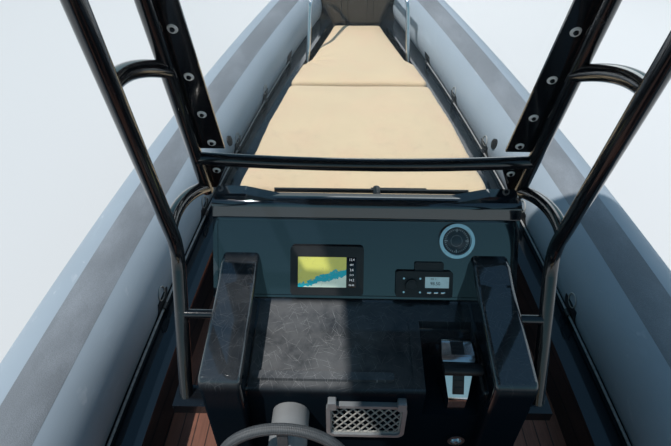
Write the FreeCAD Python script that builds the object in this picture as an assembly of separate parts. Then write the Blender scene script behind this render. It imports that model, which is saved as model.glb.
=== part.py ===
import FreeCAD
import Part
import math
import os
from FreeCAD import Vector

# A rigid inflatable boat with a console, a frame over it, a sunpad and one outboard.
# Millimetres. +Y points to the bow, +X to starboard, +Z up, and z = 0 is the waterline.

# Collar: one tube each side, straight aft, then a long rising turn and a tight turn at the nose.
TUBE_RADIUS = 235.0
TUBE_SPREAD = 1210.0        # centre of the straight tube from the middle of the boat
TUBE_HEIGHT = 570.0
SHEER_START_Y = -430.0
SHEER_RADIUS = 15350.0
SHEER_TURN = 18.4           # degrees
SHEER_TILT = 24.3           # degrees, how far the plane of the turn leans up inboard
TUBE_END_Y = -3900.0
CONE_LENGTH = 380.0
CONE_TIP_RADIUS = 95.0
SEAT_GAP = 0.3

# Coaming: the moulding that the tube lies on, in from the tube's centre and down from it.
COAMING_INNER = 340.0
COAMING_OUTER = 142.0
COAMING_TOP = 130.0
COAMING_INNER_CREST = 115.0
COAMING_OUTER_REACH = 90.0
DECK_DROP = 375.0           # tube centre down to the deck under the coaming

# Rub strake and grab line on the tube, as angles down from level.
RUB_HALF_ANGLE = 11.0
RUB_RIB_HALF_ANGLE = 4.0
RUB_THICKNESS = 14.0
RUB_RIB_THICKNESS = 26.0
GRAB_LINE_RADIUS = 6.0
GRAB_LINE_ANGLE = 21.0
GRAB_LINE_STANDOFF = 14.0
HOLDER_LENGTH = 120.0
HOLDER_TOP_ANGLE = 4.0
HOLDER_FOOT_ANGLE = 27.5
HOLDER_THICKNESS = 5.0
VALVE_RADIUS = 34.0
VALVE_HEIGHT = 8.0

# Hull
TRANSOM_Y = -3750.0
TRANSOM_THICKNESS = 60.0
KEEL_DEPTH = 450.0
CHINE_FLAT = 50.0
CHINE_STEP = 6.0
STRAKE_WIDTH = 46.0
ENGINE_NOTCH_HALF = 390.0
ENGINE_NOTCH_Z = TUBE_HEIGHT - 270.0
SOLE_THICKNESS = 12.0
SOLE_END_Y = 885.0
SOLE_STEPS = 5
PLATFORM_LENGTH = 420.0
PLATFORM_INNER = 470.0
PLATFORM_OUTER = 930.0
PLATFORM_THICKNESS = 70.0

# Sunpad
PAD_AFT_Y = 900.0
PAD_TOP = 700.0
PAD_THICKNESS = 100.0
PAD_SEAM_Y = 2420.0
PAD_BASE_INSET = 14.0
SOFT_GAP = 0.3

# Bow deck and its locker
BOW_DECK_Y = 4000.0
BOW_DECK_TOP = 930.0
BOW_DECK_LOW = TUBE_HEIGHT - 100.0
BOW_DECK_CLEAR = 4.0
BOW_STEP_HALF = 167.0
BOW_PANEL_HALF = 98.0
BOW_RIB_PROUD = 14.0
LOCKER_AFT_Y = 4040.0
LOCKER_LENGTH = 260.0
LOCKER_HALF_WIDTH = 105.0
LOCKER_DEPTH = 170.0
LID_THICKNESS = 18.0
LID_REBATE = 15.0
LID_GAP = 4.0
RAIL_RADIUS = 19.0
RAIL_FOOT_RADIUS = 36.0
RAIL_FOOT_HEIGHT = 8.0

# Console, which stands a little to port of the middle
CONSOLE_X = -35.0
CONSOLE_HALF_WIDTH = 470.0
DASH_HALF_WIDTH = 508.0
CONSOLE_AFT_Y = -605.0
SHELF_AFT_Z = 1005.0
PANEL_LOW = (-286.0, 1056.0)
PANEL_MIDDLE = (-199.0, 1191.0)
PANEL_RISE = 57.15         # degrees, how far the panel leans back from level
PANEL_UP = 110.0            # the flat of the panel ends this far above its middle
BROW_PROUD = 7.0
BROW_Z = 1350.0
BROW_LIP_Z = 1364.0
CONSOLE_FRONT_Y = 150.0
FRONT_SEAT_Y = 880.0
FRONT_SEAT_Z = 560.0
SEAT_CUSHION_THICKNESS = 90.0
WING_INNER = 352.0
WING_HALF_TOP = 474.0
WING_AFT_Y = -650.0
WING_TOP_Z = 1184.0
WING_AFT_Z = 1100.0
# The throttle's recess: its corners in the side view, and its inboard side
RECESS = (
    (-360.0, 1090.0, 0), (-372.0, 1010.0, 12), (-640.0, 872.0, 0), (-665.0, 872.0, 0), (-665.0, 1090.0, 0),
)
RECESS_INNER = 176.0
RIDGE_TOP = 1022.0          # the ridge across the shelf

# Frame over the console
FRAME_X = -45.0             # middle of the frame
FRAME_TUBE_RADIUS = 21.2
ROOF_TUBE_RADIUS = 19.0
STUB_RADIUS = 15.0
CROSS_TUBE_SAG = 18.0
RAIL_TUBE_Z = 2425.0
RAIL_TUBE_HALF = 491.0
ROOF_AFT_Y = -1950.0
ROOF_FORE_Y = 150.0
ROOF_HALF_WIDTH = 660.0
ROOF_THICKNESS = 45.0
PLATE_INNER = 440.0
PLATE_THICKNESS = 8.0
SCREEN_THICKNESS = 6.0
SCREEN_FOOT = -0.053        # shares of the forward leg where the screen starts and ends
SCREEN_TOP = 0.965
PLATE_START = 0.180         # shares of the forward leg where the plates start and end
PLATE_END = 0.968
GUSSET_TOP = 0.125
WIPER_Z = 1270.0
ROOF_CAMBER = 35.0
# Corner points of the starboard legs, the forward one from its foot to its top
AFT_LEG = ((552, -560, 880), (567, -310, 1298), (RAIL_TUBE_HALF, -700, RAIL_TUBE_Z))
AFT_LEG_BEND = 150.0
FORE_LEG = ((543, -9, 1300), (RAIL_TUBE_HALF, -453, RAIL_TUBE_Z))
CROSS_TUBE_END = (535.0, -77.0, 1472.0)
LINK_TUBES = (
    ((527, -518, 1900), (541, -357, 1870), (519, -211, 1812)),
    ((561, -344, 1395), (570, -172, 1374), (542, -17, 1320)),
)

# Things on the dash, as places across and up the panel, or on the console's aft face
PLOTTER_X = -125.0
PLOTTER_UP = -62.0
RADIO_X = 198.0
RADIO_UP = -104.0
COMPASS_X = 302.0
COMPASS_UP = 42.0
THROTTLE_X = 279.0
POCKET_X = 5.0
SOCKET_X = 298.0
SOCKET_Z = 758.0

# Small deck gear
EYE_Y = 4500.0
EYE_Z = 125.0
EYE_RADIUS = 14.0
CLEAT_HALF = 68.0
GRAB_LINE_AFT_Y = -3300.0
GRAB_LINE_END_TURN = 13.2
HOLDER_STRAIGHT_Y = (-3300.0, -2450.0, -1600.0, -750.0)
HOLDER_TURNS = (2.3, 5.0, 7.7, 10.4, 13.1)
VALVE_ANGLE = -14.0
VALVE_STERN_Y = -2900.0
VALVE_TURN = 7.2

# Helm seat and stern bench
HELM_SEAT_Y = -1980.0
HELM_SEAT_LENGTH = 430.0
HELM_SEAT_HALF_WIDTH = 390.0
HELM_SEAT_TOP = 850.0
BENCH_AFT_Y = -3040.0
BENCH_FORE_Y = -2340.0
BENCH_HALF_WIDTH = 850.0
BENCH_TOP = 540.0
BENCH_WALL = 25.0
BENCH_SHELF = 200.0         # fixed shelf aft of the lid, which carries the backrest
BENCH_LID_THICKNESS = 25.0

# Outboard, with its tilt tube above the transom and its steering post aft of that
TILT_Y = -3835.0
TILT_Z = ENGINE_NOTCH_Z + 50.0
STEER_Y = -3965.0
PROP_Z = TILT_Z - 970.0
PROP_Y = -4400.0
PROP_RADIUS = 195.0
PROP_HUB_RADIUS = 52.0
PROP_BLADES = 3
COWL_BASE_Z = TILT_Z + 120.0
CLAMP_HALF_WIDTH = 112.0
CLAMP_THICKNESS = 24.0
TILT_TUBE_RADIUS = 18.0
STEER_POST_RADIUS = 26.0
STEER_LOW_Z = TILT_Z - 480.0
SWIVEL_TOP_Z = TILT_Z - 14.0
LUG_RADIUS = 38.0
PAN_LOW_Z = TILT_Z + 52.0

# Wheel
WHEEL_X = -225.0
WHEEL_Z = 902.0
WHEEL_Y = -785.0
WHEEL_RADIUS = 180.0
WHEEL_RIM_RADIUS = 15.0
WHEEL_RAKE = 5.0            # degrees from upright
WHEEL_HUB_RADIUS = 45.0
COLUMN_RADIUS = 56.0

ORIGIN = Vector(0, 0, 0)
X_AXIS = Vector(1, 0, 0)
Y_AXIS = Vector(0, 1, 0)
Z_AXIS = Vector(0, 0, 1)
NODES = {}


def sin(degrees):
    return math.sin(math.radians(degrees))


def cos(degrees):
    return math.cos(math.radians(degrees))


def turned(shape, centre, axis, degrees):
    copy = shape.copy()
    copy.rotate(centre, axis, degrees)
    return copy


def moved(shape, x=0.0, y=0.0, z=0.0):
    copy = shape.copy()
    copy.translate(Vector(x, y, z))
    return copy


def mirrored(shape):
    return shape.mirror(ORIGIN, X_AXIS)


def part_at(shape, x, y, z):
    """The one solid of a cut shape that holds a point."""
    point = Vector(x, y, z)
    return next(s for s in shape.Solids if s.isInside(point, 0.01, True))


def biggest(shape):
    return max(shape.Solids, key=lambda s: s.Volume)


def both_sides(shape):
    return Part.makeCompound([shape, mirrored(shape)])


def fused(shapes):
    return shapes[0].fuse(shapes[1:]).removeSplitter()


def outline(corners, place):
    """A closed wire from rows of (u, v, corner radius), put in space by place(u, v)."""
    count = len(corners)
    spans = []
    for i, (u, v, radius) in enumerate(corners):
        here = Vector(u, v, 0)
        before = (Vector(*corners[i - 1][:2], 0) - here).normalize()
        after = (Vector(*corners[(i + 1) % count][:2], 0) - here).normalize()
        if radius <= 0:
            spans.append((here, None, here))
            continue
        half = 0.5 * before.getAngle(after)
        inward = (before + after).normalize()
        middle = here + inward * (radius / math.sin(half) - radius)
        reach = radius / math.tan(half)
        spans.append((here + before * reach, middle, here + after * reach))
    edges = []
    for i, (start, middle, end) in enumerate(spans):
        if middle is not None:
            points = [place(p.x, p.y) for p in (start, middle, end)]
            edges.append(Part.Arc(*points).toShape())
        following = spans[(i + 1) % count][0]
        if (following - end).Length > 1e-4:
            edges.append(Part.makeLine(place(end.x, end.y), place(following.x, following.y)))
    return Part.Wire(edges)


def rectangle(low_u, high_u, low_v, high_v, radius):
    corners = ((low_u, low_v), (high_u, low_v), (high_u, high_v), (low_u, high_v))
    return [(u, v, radius) for u, v in corners]


def plan_slab(corners, low, high):
    """A slab with its outline in plan."""
    wire = outline(corners, lambda u, v: Vector(u, v, low))
    return Part.Face(wire).extrude(Vector(0, 0, high - low))


def side_slab(corners, low_x, high_x):
    """A slab with its outline in the side view, as (y, z) corners."""
    wire = outline(corners, lambda u, v: Vector(low_x, u, v))
    return Part.Face(wire).extrude(Vector(high_x - low_x, 0, 0))


def end_slab(corners, low_y, high_y):
    """A slab with its outline in the end view, as (x, z) corners."""
    wire = outline(corners, lambda u, v: Vector(u, low_y, v))
    return Part.Face(wire).extrude(Vector(0, high_y - low_y, 0))


def box(low, high):
    return Part.makeBox(high[0] - low[0], high[1] - low[1], high[2] - low[2], Vector(*low))


def rod(start, end, radius):
    start, end = Vector(*start), Vector(*end)
    return Part.makeCylinder(radius, (end - start).Length, start, end - start)


def arc_tube(start, middle, end, radius):
    """A round tube along an arc through three points."""
    arc = Part.Arc(Vector(*start), Vector(*middle), Vector(*end)).toShape()
    sweep = math.degrees(arc.LastParameter - arc.FirstParameter)
    disc = Part.Face(Part.Wire(Part.makeCircle(radius, Vector(*start), arc.tangentAt(arc.FirstParameter))))
    return disc.revolve(arc.Curve.Center, arc.Curve.Axis, sweep)


def eased_sides(slab, low_x, high_x, above_z, radius):
    """Round the edges of a side slab that lie on its two flat ends, above a height."""
    edges = []
    for edge in slab.Edges:
        span = edge.BoundBox
        on_end = any(abs(span.XMin - x) + abs(span.XMax - x) < 0.01 for x in (low_x, high_x))
        if on_end and span.ZMin > above_z:
            edges.append(edge)
    return slab.makeFillet(radius, edges)


def bent_tube(points, bends, radius):
    """A round tube through corner points, with one bend radius per inner corner."""
    corners = [Vector(*p) for p in points]
    edges = []
    start = corners[0]
    for corner, following, bend in zip(corners[1:], corners[2:], bends):
        before = (start - corner).normalize()
        after = (following - corner).normalize()
        half = 0.5 * before.getAngle(after)
        inward = (before + after).normalize()
        reach = bend / math.tan(half)
        middle = corner + inward * (bend / math.sin(half) - bend)
        edges.append(Part.makeLine(start, corner + before * reach))
        edges.append(Part.Arc(corner + before * reach, middle, corner + after * reach).toShape())
        start = corner + after * reach
    edges.append(Part.makeLine(start, corners[-1]))
    path = Part.Wire(edges)
    ring = Part.Wire(Part.makeCircle(radius, corners[0], corners[1] - corners[0]))
    return path.makePipeShell([ring], True, False)


# The collar's line, starboard side

SHEER_AXIS = Vector(sin(SHEER_TILT), 0, cos(SHEER_TILT))
SHEER_INWARD = Vector(-cos(SHEER_TILT), 0, sin(SHEER_TILT))
SHEER_ROOT = Vector(TUBE_SPREAD, SHEER_START_Y, TUBE_HEIGHT)
SHEER_CENTRE = SHEER_ROOT + SHEER_INWARD * SHEER_RADIUS


def sheer_turn(shape_or_point, degrees):
    if isinstance(shape_or_point, Vector):
        turn = FreeCAD.Rotation(SHEER_AXIS, degrees)
        return turn.multVec(shape_or_point - SHEER_CENTRE) + SHEER_CENTRE
    return turned(shape_or_point, SHEER_CENTRE, SHEER_AXIS, degrees)


NOSE_ROOT = sheer_turn(SHEER_ROOT, SHEER_TURN)
NOSE_HEADING = FreeCAD.Rotation(SHEER_AXIS, SHEER_TURN).multVec(Y_AXIS)
NOSE_TURN = math.degrees(NOSE_HEADING.getAngle(X_AXIS * -1))
NOSE_AXIS = NOSE_HEADING.cross(X_AXIS * -1).normalize()
NOSE_REACH = NOSE_ROOT.x / (1 - NOSE_HEADING.x)
NOSE_RADIUS = NOSE_REACH / math.tan(math.radians(NOSE_TURN / 2))
NOSE_CENTRE = NOSE_ROOT + NOSE_AXIS.cross(NOSE_HEADING) * NOSE_RADIUS


def collar_point(across, up, sheer, nose=0.0):
    """A point carried with the tube: offsets from its centre, turned along the sheer and nose."""
    start = SHEER_ROOT + Vector(across, 0, up)
    point = sheer_turn(start, sheer)
    turn = FreeCAD.Rotation(NOSE_AXIS, nose)
    return turn.multVec(point - NOSE_CENTRE) + NOSE_CENTRE


def along_collar(section, aft_y):
    """Carry a section, drawn where the sheer starts, aft to aft_y and forward to the nose."""
    aft = section.extrude(Vector(0, aft_y - SHEER_START_Y, 0))
    side = section.revolve(SHEER_CENTRE, SHEER_AXIS, SHEER_TURN)
    nose = sheer_turn(section, SHEER_TURN).revolve(NOSE_CENTRE, NOSE_AXIS, NOSE_TURN)
    return fused([aft, side, nose])


def section_point(across, up):
    return SHEER_ROOT + Vector(across, 0, up)


def polar(radius, angle_down, outboard):
    """A point of the section by its radius and its angle below level."""
    side = 1 if outboard else -1
    return section_point(side * radius * cos(angle_down), -radius * sin(angle_down))


def make_tube(swell=0.0):
    disc = Part.Face(Part.Wire(Part.makeCircle(TUBE_RADIUS + swell, SHEER_ROOT, Y_AXIS)))
    body = along_collar(disc, TUBE_END_Y)
    cone_root = Vector(TUBE_SPREAD, TUBE_END_Y, TUBE_HEIGHT)
    cone = Part.makeCone(TUBE_RADIUS, CONE_TIP_RADIUS, CONE_LENGTH, cone_root, Y_AXIS * -1)
    return fused([body, cone])


def make_coaming():
    seat = TUBE_RADIUS + SEAT_GAP
    crest_up = -COAMING_INNER_CREST
    crest = section_point(-math.sqrt(seat ** 2 - crest_up ** 2), crest_up)
    outer_up = -math.sqrt(seat ** 2 - COAMING_OUTER_REACH ** 2)
    outer = section_point(-COAMING_OUTER_REACH, outer_up)
    middle = polar(seat, 50.0, False)
    foot_in = section_point(-COAMING_INNER, -DECK_DROP)
    foot_out = section_point(-COAMING_OUTER, -DECK_DROP)
    shoulder = section_point(-COAMING_INNER, -COAMING_TOP)
    edges = [
        Part.makeLine(foot_in, shoulder),
        Part.makeLine(shoulder, crest),
        Part.Arc(crest, middle, outer).toShape(),
        Part.makeLine(outer, foot_out),
        Part.makeLine(foot_out, foot_in),
    ]
    return along_collar(Part.Face(Part.Wire(edges)), TRANSOM_Y)


def ring_piece(inner, outer, low_angle, high_angle, outboard):
    """A face between two radii of the tube's section and two angles below level."""
    middle = 0.5 * (low_angle + high_angle)
    edges = [
        Part.makeLine(polar(inner, low_angle, outboard), polar(outer, low_angle, outboard)),
        Part.Arc(*[polar(outer, a, outboard) for a in (low_angle, middle, high_angle)]).toShape(),
        Part.makeLine(polar(outer, high_angle, outboard), polar(inner, high_angle, outboard)),
        Part.Arc(*[polar(inner, a, outboard) for a in (high_angle, middle, low_angle)]).toShape(),
    ]
    return Part.Face(Part.Wire(edges))


def make_rub_strake():
    seat = TUBE_RADIUS + SEAT_GAP
    band = ring_piece(seat, seat + RUB_THICKNESS, -RUB_HALF_ANGLE, RUB_HALF_ANGLE, True)
    rib_top = seat + RUB_RIB_THICKNESS
    rib = ring_piece(seat, rib_top, -RUB_RIB_HALF_ANGLE, RUB_RIB_HALF_ANGLE, True)
    section = band.fuse(rib).removeSplitter().Faces[0]
    side = along_collar(section, TUBE_END_Y)
    return fused([side, mirrored(side)])


# Hull stations: sheer turn, nose turn, keel height, chine in from the deck edge, chine down from it.
HULL_STATIONS = (
    (0.0, 0.0, -KEEL_DEPTH, 68.0, 255.0),
    (4.5, 0.0, -KEEL_DEPTH, 62.0, 250.0),
    (9.0, 0.0, -432.0, 52.0, 242.0),
    (13.0, 0.0, -350.0, 62.0, 226.0),
    (16.0, 0.0, -185.0, 92.0, 190.0),
    (SHEER_TURN, 0.0, 110.0, 120.0, 120.0),
    (SHEER_TURN, 36.0, 400.0, 60.0, 50.0),
)


def hull_section(y, edge, keel_z, chine_in, chine_down):
    """One closed section, flat across the deck, with a spray rail and a chine flat each side."""
    chine_x = edge.x - chine_in
    chine_z = edge.z - chine_down
    scale = min(1.0, chine_x / 500.0)
    inner_x = chine_x - CHINE_FLAT * scale
    slope = (chine_z + CHINE_STEP * scale - keel_z) / inner_x
    rail_x = 0.5 * inner_x
    rail_end = rail_x + STRAKE_WIDTH * scale
    side = [
        (rail_x, keel_z + slope * rail_x),
        (rail_end, keel_z + slope * rail_x),
        (rail_end, keel_z + slope * rail_end),
        (inner_x, chine_z + CHINE_STEP * scale),
        (chine_x, chine_z),
        (edge.x, edge.z),
    ]
    points = [Vector(0, y, keel_z)] + [Vector(x, y, z) for x, z in side]
    points += [Vector(-x, y, z) for x, z in reversed(side)]
    return Part.makePolygon(points + points[:1])


def deck_edge(sheer, nose=0.0):
    return collar_point(-COAMING_OUTER, -DECK_DROP, sheer, nose)


def make_hull():
    first = HULL_STATIONS[0]
    aft_edge = deck_edge(0.0)
    aft_section = hull_section(SHEER_START_Y, aft_edge, *first[2:])
    aft = Part.Face(aft_section).extrude(Vector(0, TRANSOM_Y - SHEER_START_Y, 0))
    sections = []
    for sheer, nose, keel_z, chine_in, chine_down in HULL_STATIONS:
        edge = deck_edge(sheer, nose)
        sections.append(hull_section(edge.y, edge, keel_z, chine_in, chine_down))
    bow = Part.makeLoft(sections, True, False)
    return fused([aft, bow]).cut(sole_plan(TUBE_HEIGHT - DECK_DROP, COAMING_TOP))


def sole_plan(low, thickness):
    """A slab of the sole's outline, which follows the coamings to its forward end."""
    end_turn = math.degrees(math.asin((SOLE_END_Y - SHEER_START_Y) / SHEER_RADIUS))
    aft_y = TRANSOM_Y + TRANSOM_THICKNESS
    side = [collar_point(-COAMING_INNER, 0, end_turn * i / SOLE_STEPS) for i in range(SOLE_STEPS + 1)]
    right = [(side[0].x, aft_y, 0)] + [(p.x, p.y, 0) for p in side]
    left = [(-x, y, 0) for x, y, _ in reversed(right)]
    return plan_slab(right + left, low, low + thickness)


def make_transom(deck_z):
    half = TUBE_SPREAD - COAMING_INNER
    top = TUBE_HEIGHT - COAMING_TOP
    corners = [
        (-half, deck_z, 0), (half, deck_z, 0), (half, top, 0),
        (ENGINE_NOTCH_HALF + 110, top, 40), (ENGINE_NOTCH_HALF, ENGINE_NOTCH_Z, 40),
        (-ENGINE_NOTCH_HALF, ENGINE_NOTCH_Z, 40), (-ENGINE_NOTCH_HALF - 110, top, 40), (-half, top, 0),
    ]
    return end_slab(corners, TRANSOM_Y, TRANSOM_Y + TRANSOM_THICKNESS)


def make_platforms(deck_z):
    top = deck_z - 8
    corners = [
        (PLATFORM_INNER, TRANSOM_Y, 0), (PLATFORM_OUTER, TRANSOM_Y, 0),
        (PLATFORM_OUTER, TRANSOM_Y - PLATFORM_LENGTH, 90), (PLATFORM_INNER, TRANSOM_Y - PLATFORM_LENGTH, 60),
    ]
    return both_sides(plan_slab(corners, top - PLATFORM_THICKNESS, top))


# Pad outline: y and half width, with a notch each side for the rails
PAD_OUTLINE = (
    (PAD_AFT_Y, 750.0), (1330.0, 712.0), (1780.0, 675.0), (PAD_SEAM_Y, 583.0),
    (2850.0, 520.0), (2965.0, 447.0), (3980.0, 256.0),
)


def pad_width_at(y):
    for (y0, w0), (y1, w1) in zip(PAD_OUTLINE, PAD_OUTLINE[1:]):
        if y0 <= y <= y1:
            return w0 + (w1 - w0) * (y - y0) / (y1 - y0)
    return PAD_OUTLINE[-1][1]


def pad_slab(start_y, end_y, inset, low, high, corner):
    rows = [(start_y, pad_width_at(start_y))]
    rows += [row for row in PAD_OUTLINE if start_y < row[0] < end_y]
    rows.append((end_y, pad_width_at(end_y)))
    right = [(w - inset, y, corner if i in (0, len(rows) - 1) else 0) for i, (y, w) in enumerate(rows)]
    left = [(-x, y, r) for x, y, r in reversed(right)]
    return plan_slab(right + left, low, high)


def softened(solid, low, high, radius):
    """Round the long edges that lie at the top or foot of a cushion."""
    edges = [e for e in solid.Edges if min(abs(e.BoundBox.ZMin - z) + abs(e.BoundBox.ZMax - z)
                                           for z in (low, high)) < 0.01]
    return solid.makeFillet(radius, edges)


def make_sunpad_base(hull):
    block = pad_slab(PAD_AFT_Y, PAD_OUTLINE[-1][0], PAD_BASE_INSET, 0, PAD_TOP - PAD_THICKNESS - SOFT_GAP, 0)
    return part_at(block.cut(hull), 0, PAD_SEAM_Y, PAD_TOP - PAD_THICKNESS - 20)


def make_sunpad(start_y, end_y):
    low = PAD_TOP - PAD_THICKNESS
    slab = pad_slab(start_y, end_y, 0, low, PAD_TOP, 40)
    return softened(slab, low, PAD_TOP, 24)


def make_bow_deck(clear_of):
    """A step that fills the bow inside the collar, with a locker well and a rebate for its lid."""
    plan = [(-400, BOW_DECK_Y, 0), (400, BOW_DECK_Y, 0), (220, 4560, 0), (-220, 4560, 0)]
    block = plan_slab(plan, BOW_DECK_LOW, BOW_DECK_TOP)
    for solid in clear_of:
        block = block.cut(solid)
    block = part_at(block, 0, BOW_DECK_Y + 20, BOW_DECK_TOP - 20)
    low, high = LOCKER_AFT_Y, LOCKER_AFT_Y + LOCKER_LENGTH
    half = LOCKER_HALF_WIDTH
    well = plan_slab(rectangle(-half, half, low, high, 12), BOW_DECK_TOP - LOCKER_DEPTH, BOW_DECK_TOP + 1)
    edge = LID_REBATE
    rebate = plan_slab(rectangle(-half - edge, half + edge, low - edge, high + edge, 16),
                       BOW_DECK_TOP - LID_THICKNESS - SEAT_GAP, BOW_DECK_TOP + 1)
    block = block.cut([well, rebate])
    ribs = []
    for side in (-1, 1):
        span = sorted((side * BOW_PANEL_HALF, side * BOW_STEP_HALF))
        ribs.append(plan_slab(rectangle(span[0], span[1], BOW_DECK_Y - BOW_RIB_PROUD, BOW_DECK_Y + 10, 6),
                              PAD_TOP + 5, BOW_DECK_TOP - 12))
    return fused([block] + ribs)


def make_locker_lid():
    grow = LID_REBATE - LID_GAP
    half = LOCKER_HALF_WIDTH + grow
    corners = rectangle(-half, half, LOCKER_AFT_Y - grow, LOCKER_AFT_Y + LOCKER_LENGTH + grow, 14)
    return plan_slab(corners, BOW_DECK_TOP - LID_THICKNESS, BOW_DECK_TOP)


def make_bow_rails(clear_of):
    """A hoop each side, from the pad's notch forward to the bow deck, on round feet."""
    points = ((470, 3085, 480), (432, 3260, 1110), (270, 3900, 1170), (170, 4200, BOW_DECK_TOP))
    hoop = bent_tube(points, (90.0, 90.0), RAIL_RADIUS)
    foot = Part.makeCylinder(RAIL_FOOT_RADIUS, RAIL_FOOT_HEIGHT, Vector(*points[-1]))
    below = box((0, BOW_DECK_Y, 0), (500, 4400, BOW_DECK_TOP))
    for solid in clear_of + [below]:
        hoop = hoop.cut(solid)
    return both_sides(fused([biggest(hoop), foot]))


def make_bow_eye():
    """A plate with a towing eye, standing out of the stem."""
    plate = side_slab([(4380, 60, 10), (4560, 60, 40), (4560, 190, 20), (4380, 190, 10)], -8, 8)
    hole = rod((-20, EYE_Y, EYE_Z), (20, EYE_Y, EYE_Z), EYE_RADIUS)
    return plate.cut(hole)


def make_cleats():
    """A horn cleat on each coaming near the stern and one on the bow deck."""
    foot = plan_slab(rectangle(-18, 18, -40, 40, 14), 0, 6)
    stem = plan_slab(rectangle(-8, 8, -26, 26, 7), 5, 32)
    horn = rod((0, -CLEAT_HALF, 36), (0, CLEAT_HALF, 36), 9)
    cleat = fused([foot, stem, horn])
    inner = TUBE_SPREAD - COAMING_INNER
    stern = moved(cleat, inner + 45, TRANSOM_Y + 330, TUBE_HEIGHT - COAMING_TOP + 8)
    bow = moved(cleat, 0, LOCKER_AFT_Y + LOCKER_LENGTH + 100, BOW_DECK_TOP)
    return Part.makeCompound([stern, mirrored(stern), bow])


def panel_point(up, out):
    """A (y, z) point of the dash panel's side view, up from its middle and out from its face."""
    y, z = PANEL_MIDDLE
    rise, lean = sin(PANEL_RISE), cos(PANEL_RISE)
    return (y + up * lean - out * rise, z + up * rise + out * lean)


def brow_rows():
    """The corners of the brow: a roll that stands proud of the panel and falls away ahead."""
    return [(*panel_point(PANEL_UP, 0), 0), (*panel_point(PANEL_UP, BROW_PROUD), 5), (-122, BROW_Z, 32),
            (-60, BROW_Z - 18, 20), (-28, BROW_Z - 65, 20)]


def make_console(sole_z):
    half, dash_half, wing_half = CONSOLE_HALF_WIDTH - 20, DASH_HALF_WIDTH, WING_HALF_TOP
    shelf = [
        (CONSOLE_AFT_Y, sole_z, 0), (CONSOLE_AFT_Y, SHELF_AFT_Z, 14), (*PANEL_LOW, 10), *brow_rows(),
        (CONSOLE_FRONT_Y, FRONT_SEAT_Z, 20), (FRONT_SEAT_Y, FRONT_SEAT_Z, 25), (FRONT_SEAT_Y - 40, sole_z, 0),
    ]
    dash = [(*PANEL_LOW, 0)] + brow_rows() + [(20, PANEL_LOW[1], 0)]
    wing = [
        (PANEL_LOW[0] + 30, sole_z, 0), (-190, WING_TOP_Z, 0), (-250, WING_TOP_Z, 30), (-320, 1160, 60),
        (WING_AFT_Y, WING_AFT_Z, 30), (WING_AFT_Y + 20, sole_z, 0),
    ]
    pieces = [side_slab(shelf, -half, half), side_slab(dash, -dash_half, dash_half)]
    for low_x, high_x in ((WING_INNER, wing_half), (-wing_half, -WING_INNER)):
        pieces.append(eased_sides(side_slab(wing, low_x, high_x), low_x, high_x, WING_AFT_Z - 60, 14))
    body = fused(pieces + brow_lips() + panel_rim())
    body = body.cut(side_slab(RECESS, RECESS_INNER, WING_INNER - 8))
    ridge = plan_slab(rectangle(-339, 85, -577, -550, 10), RIDGE_TOP - 37, RIDGE_TOP)
    return fused([body, ridge, recess_rim()])


def brow_lips():
    """The raised ends of the brow, beside the forward legs."""
    foot, end_x = BROW_Z - 30, DASH_HALF_WIDTH - 10
    rows = [
        (290, foot, 0), (290, BROW_Z - 12, 0), (400, BROW_LIP_Z, 30), (end_x, BROW_LIP_Z, 12), (end_x, foot, 0),
    ]
    lip = end_slab(rows, -118, -72)
    return [lip, mirrored(lip)]


def panel_rim():
    """A low rounded rim round the dash panel."""
    low, high = -158, PANEL_UP - 2
    outer = plan_slab(rectangle(-500, 500, low, high, 24), -4, 4)
    inner = plan_slab(rectangle(-492, 492, low + 8, high - 8, 16), -6, 6)
    rim = moved(on_panel(outer.cut(inner)), x=-CONSOLE_X)
    return [rim]


def recess_rim():
    """A low lip on the shelf along the recess's inboard side."""
    slope = (PANEL_LOW[1] - SHELF_AFT_Z) / (PANEL_LOW[0] - CONSOLE_AFT_Y)
    rows = []
    for y, up in ((-372, -8), (-372, 4), (-560, 4), (-560, -8)):
        rows.append((y, SHELF_AFT_Z + (y - CONSOLE_AFT_Y) * slope + up, 0))
    return side_slab(rows, RECESS_INNER - 34, RECESS_INNER - 22)


def on_panel(shape):
    """Lean a piece drawn flat, with its back at z = 0, onto the dash panel's middle."""
    leaned = turned(shape, ORIGIN, X_AXIS, PANEL_RISE)
    return moved(leaned, CONSOLE_X, *PANEL_MIDDLE)


def make_wheel():
    rim = Part.makeTorus(WHEEL_RADIUS, WHEEL_RIM_RADIUS)
    hub = Part.makeCylinder(WHEEL_HUB_RADIUS, 34, Vector(0, 0, -22))
    spokes = []
    for angle in (90, 210, 330):
        spoke = box((0, -14, -6), (WHEEL_RADIUS, 14, 4))
        spokes.append(turned(spoke, ORIGIN, Z_AXIS, angle))
    wheel = fused([rim, hub] + spokes)
    wheel = turned(wheel, ORIGIN, X_AXIS, 90 - WHEEL_RAKE)
    return moved(wheel, WHEEL_X + CONSOLE_X, WHEEL_Y, WHEEL_Z)


def wheel_axis():
    """The wheel's axle, pointing at the driver."""
    return Vector(0, -cos(WHEEL_RAKE), sin(WHEEL_RAKE))


def make_helm_hub():
    axis = wheel_axis()
    front = Vector(WHEEL_X + CONSOLE_X, WHEEL_Y, WHEEL_Z) - axis * 23
    hub = Part.makeCylinder(COLUMN_RADIUS, 260, front, axis * -1)
    wall = box((-600, CONSOLE_AFT_Y, 0), (600, 0, 2000))
    return hub.cut(wall)


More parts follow.
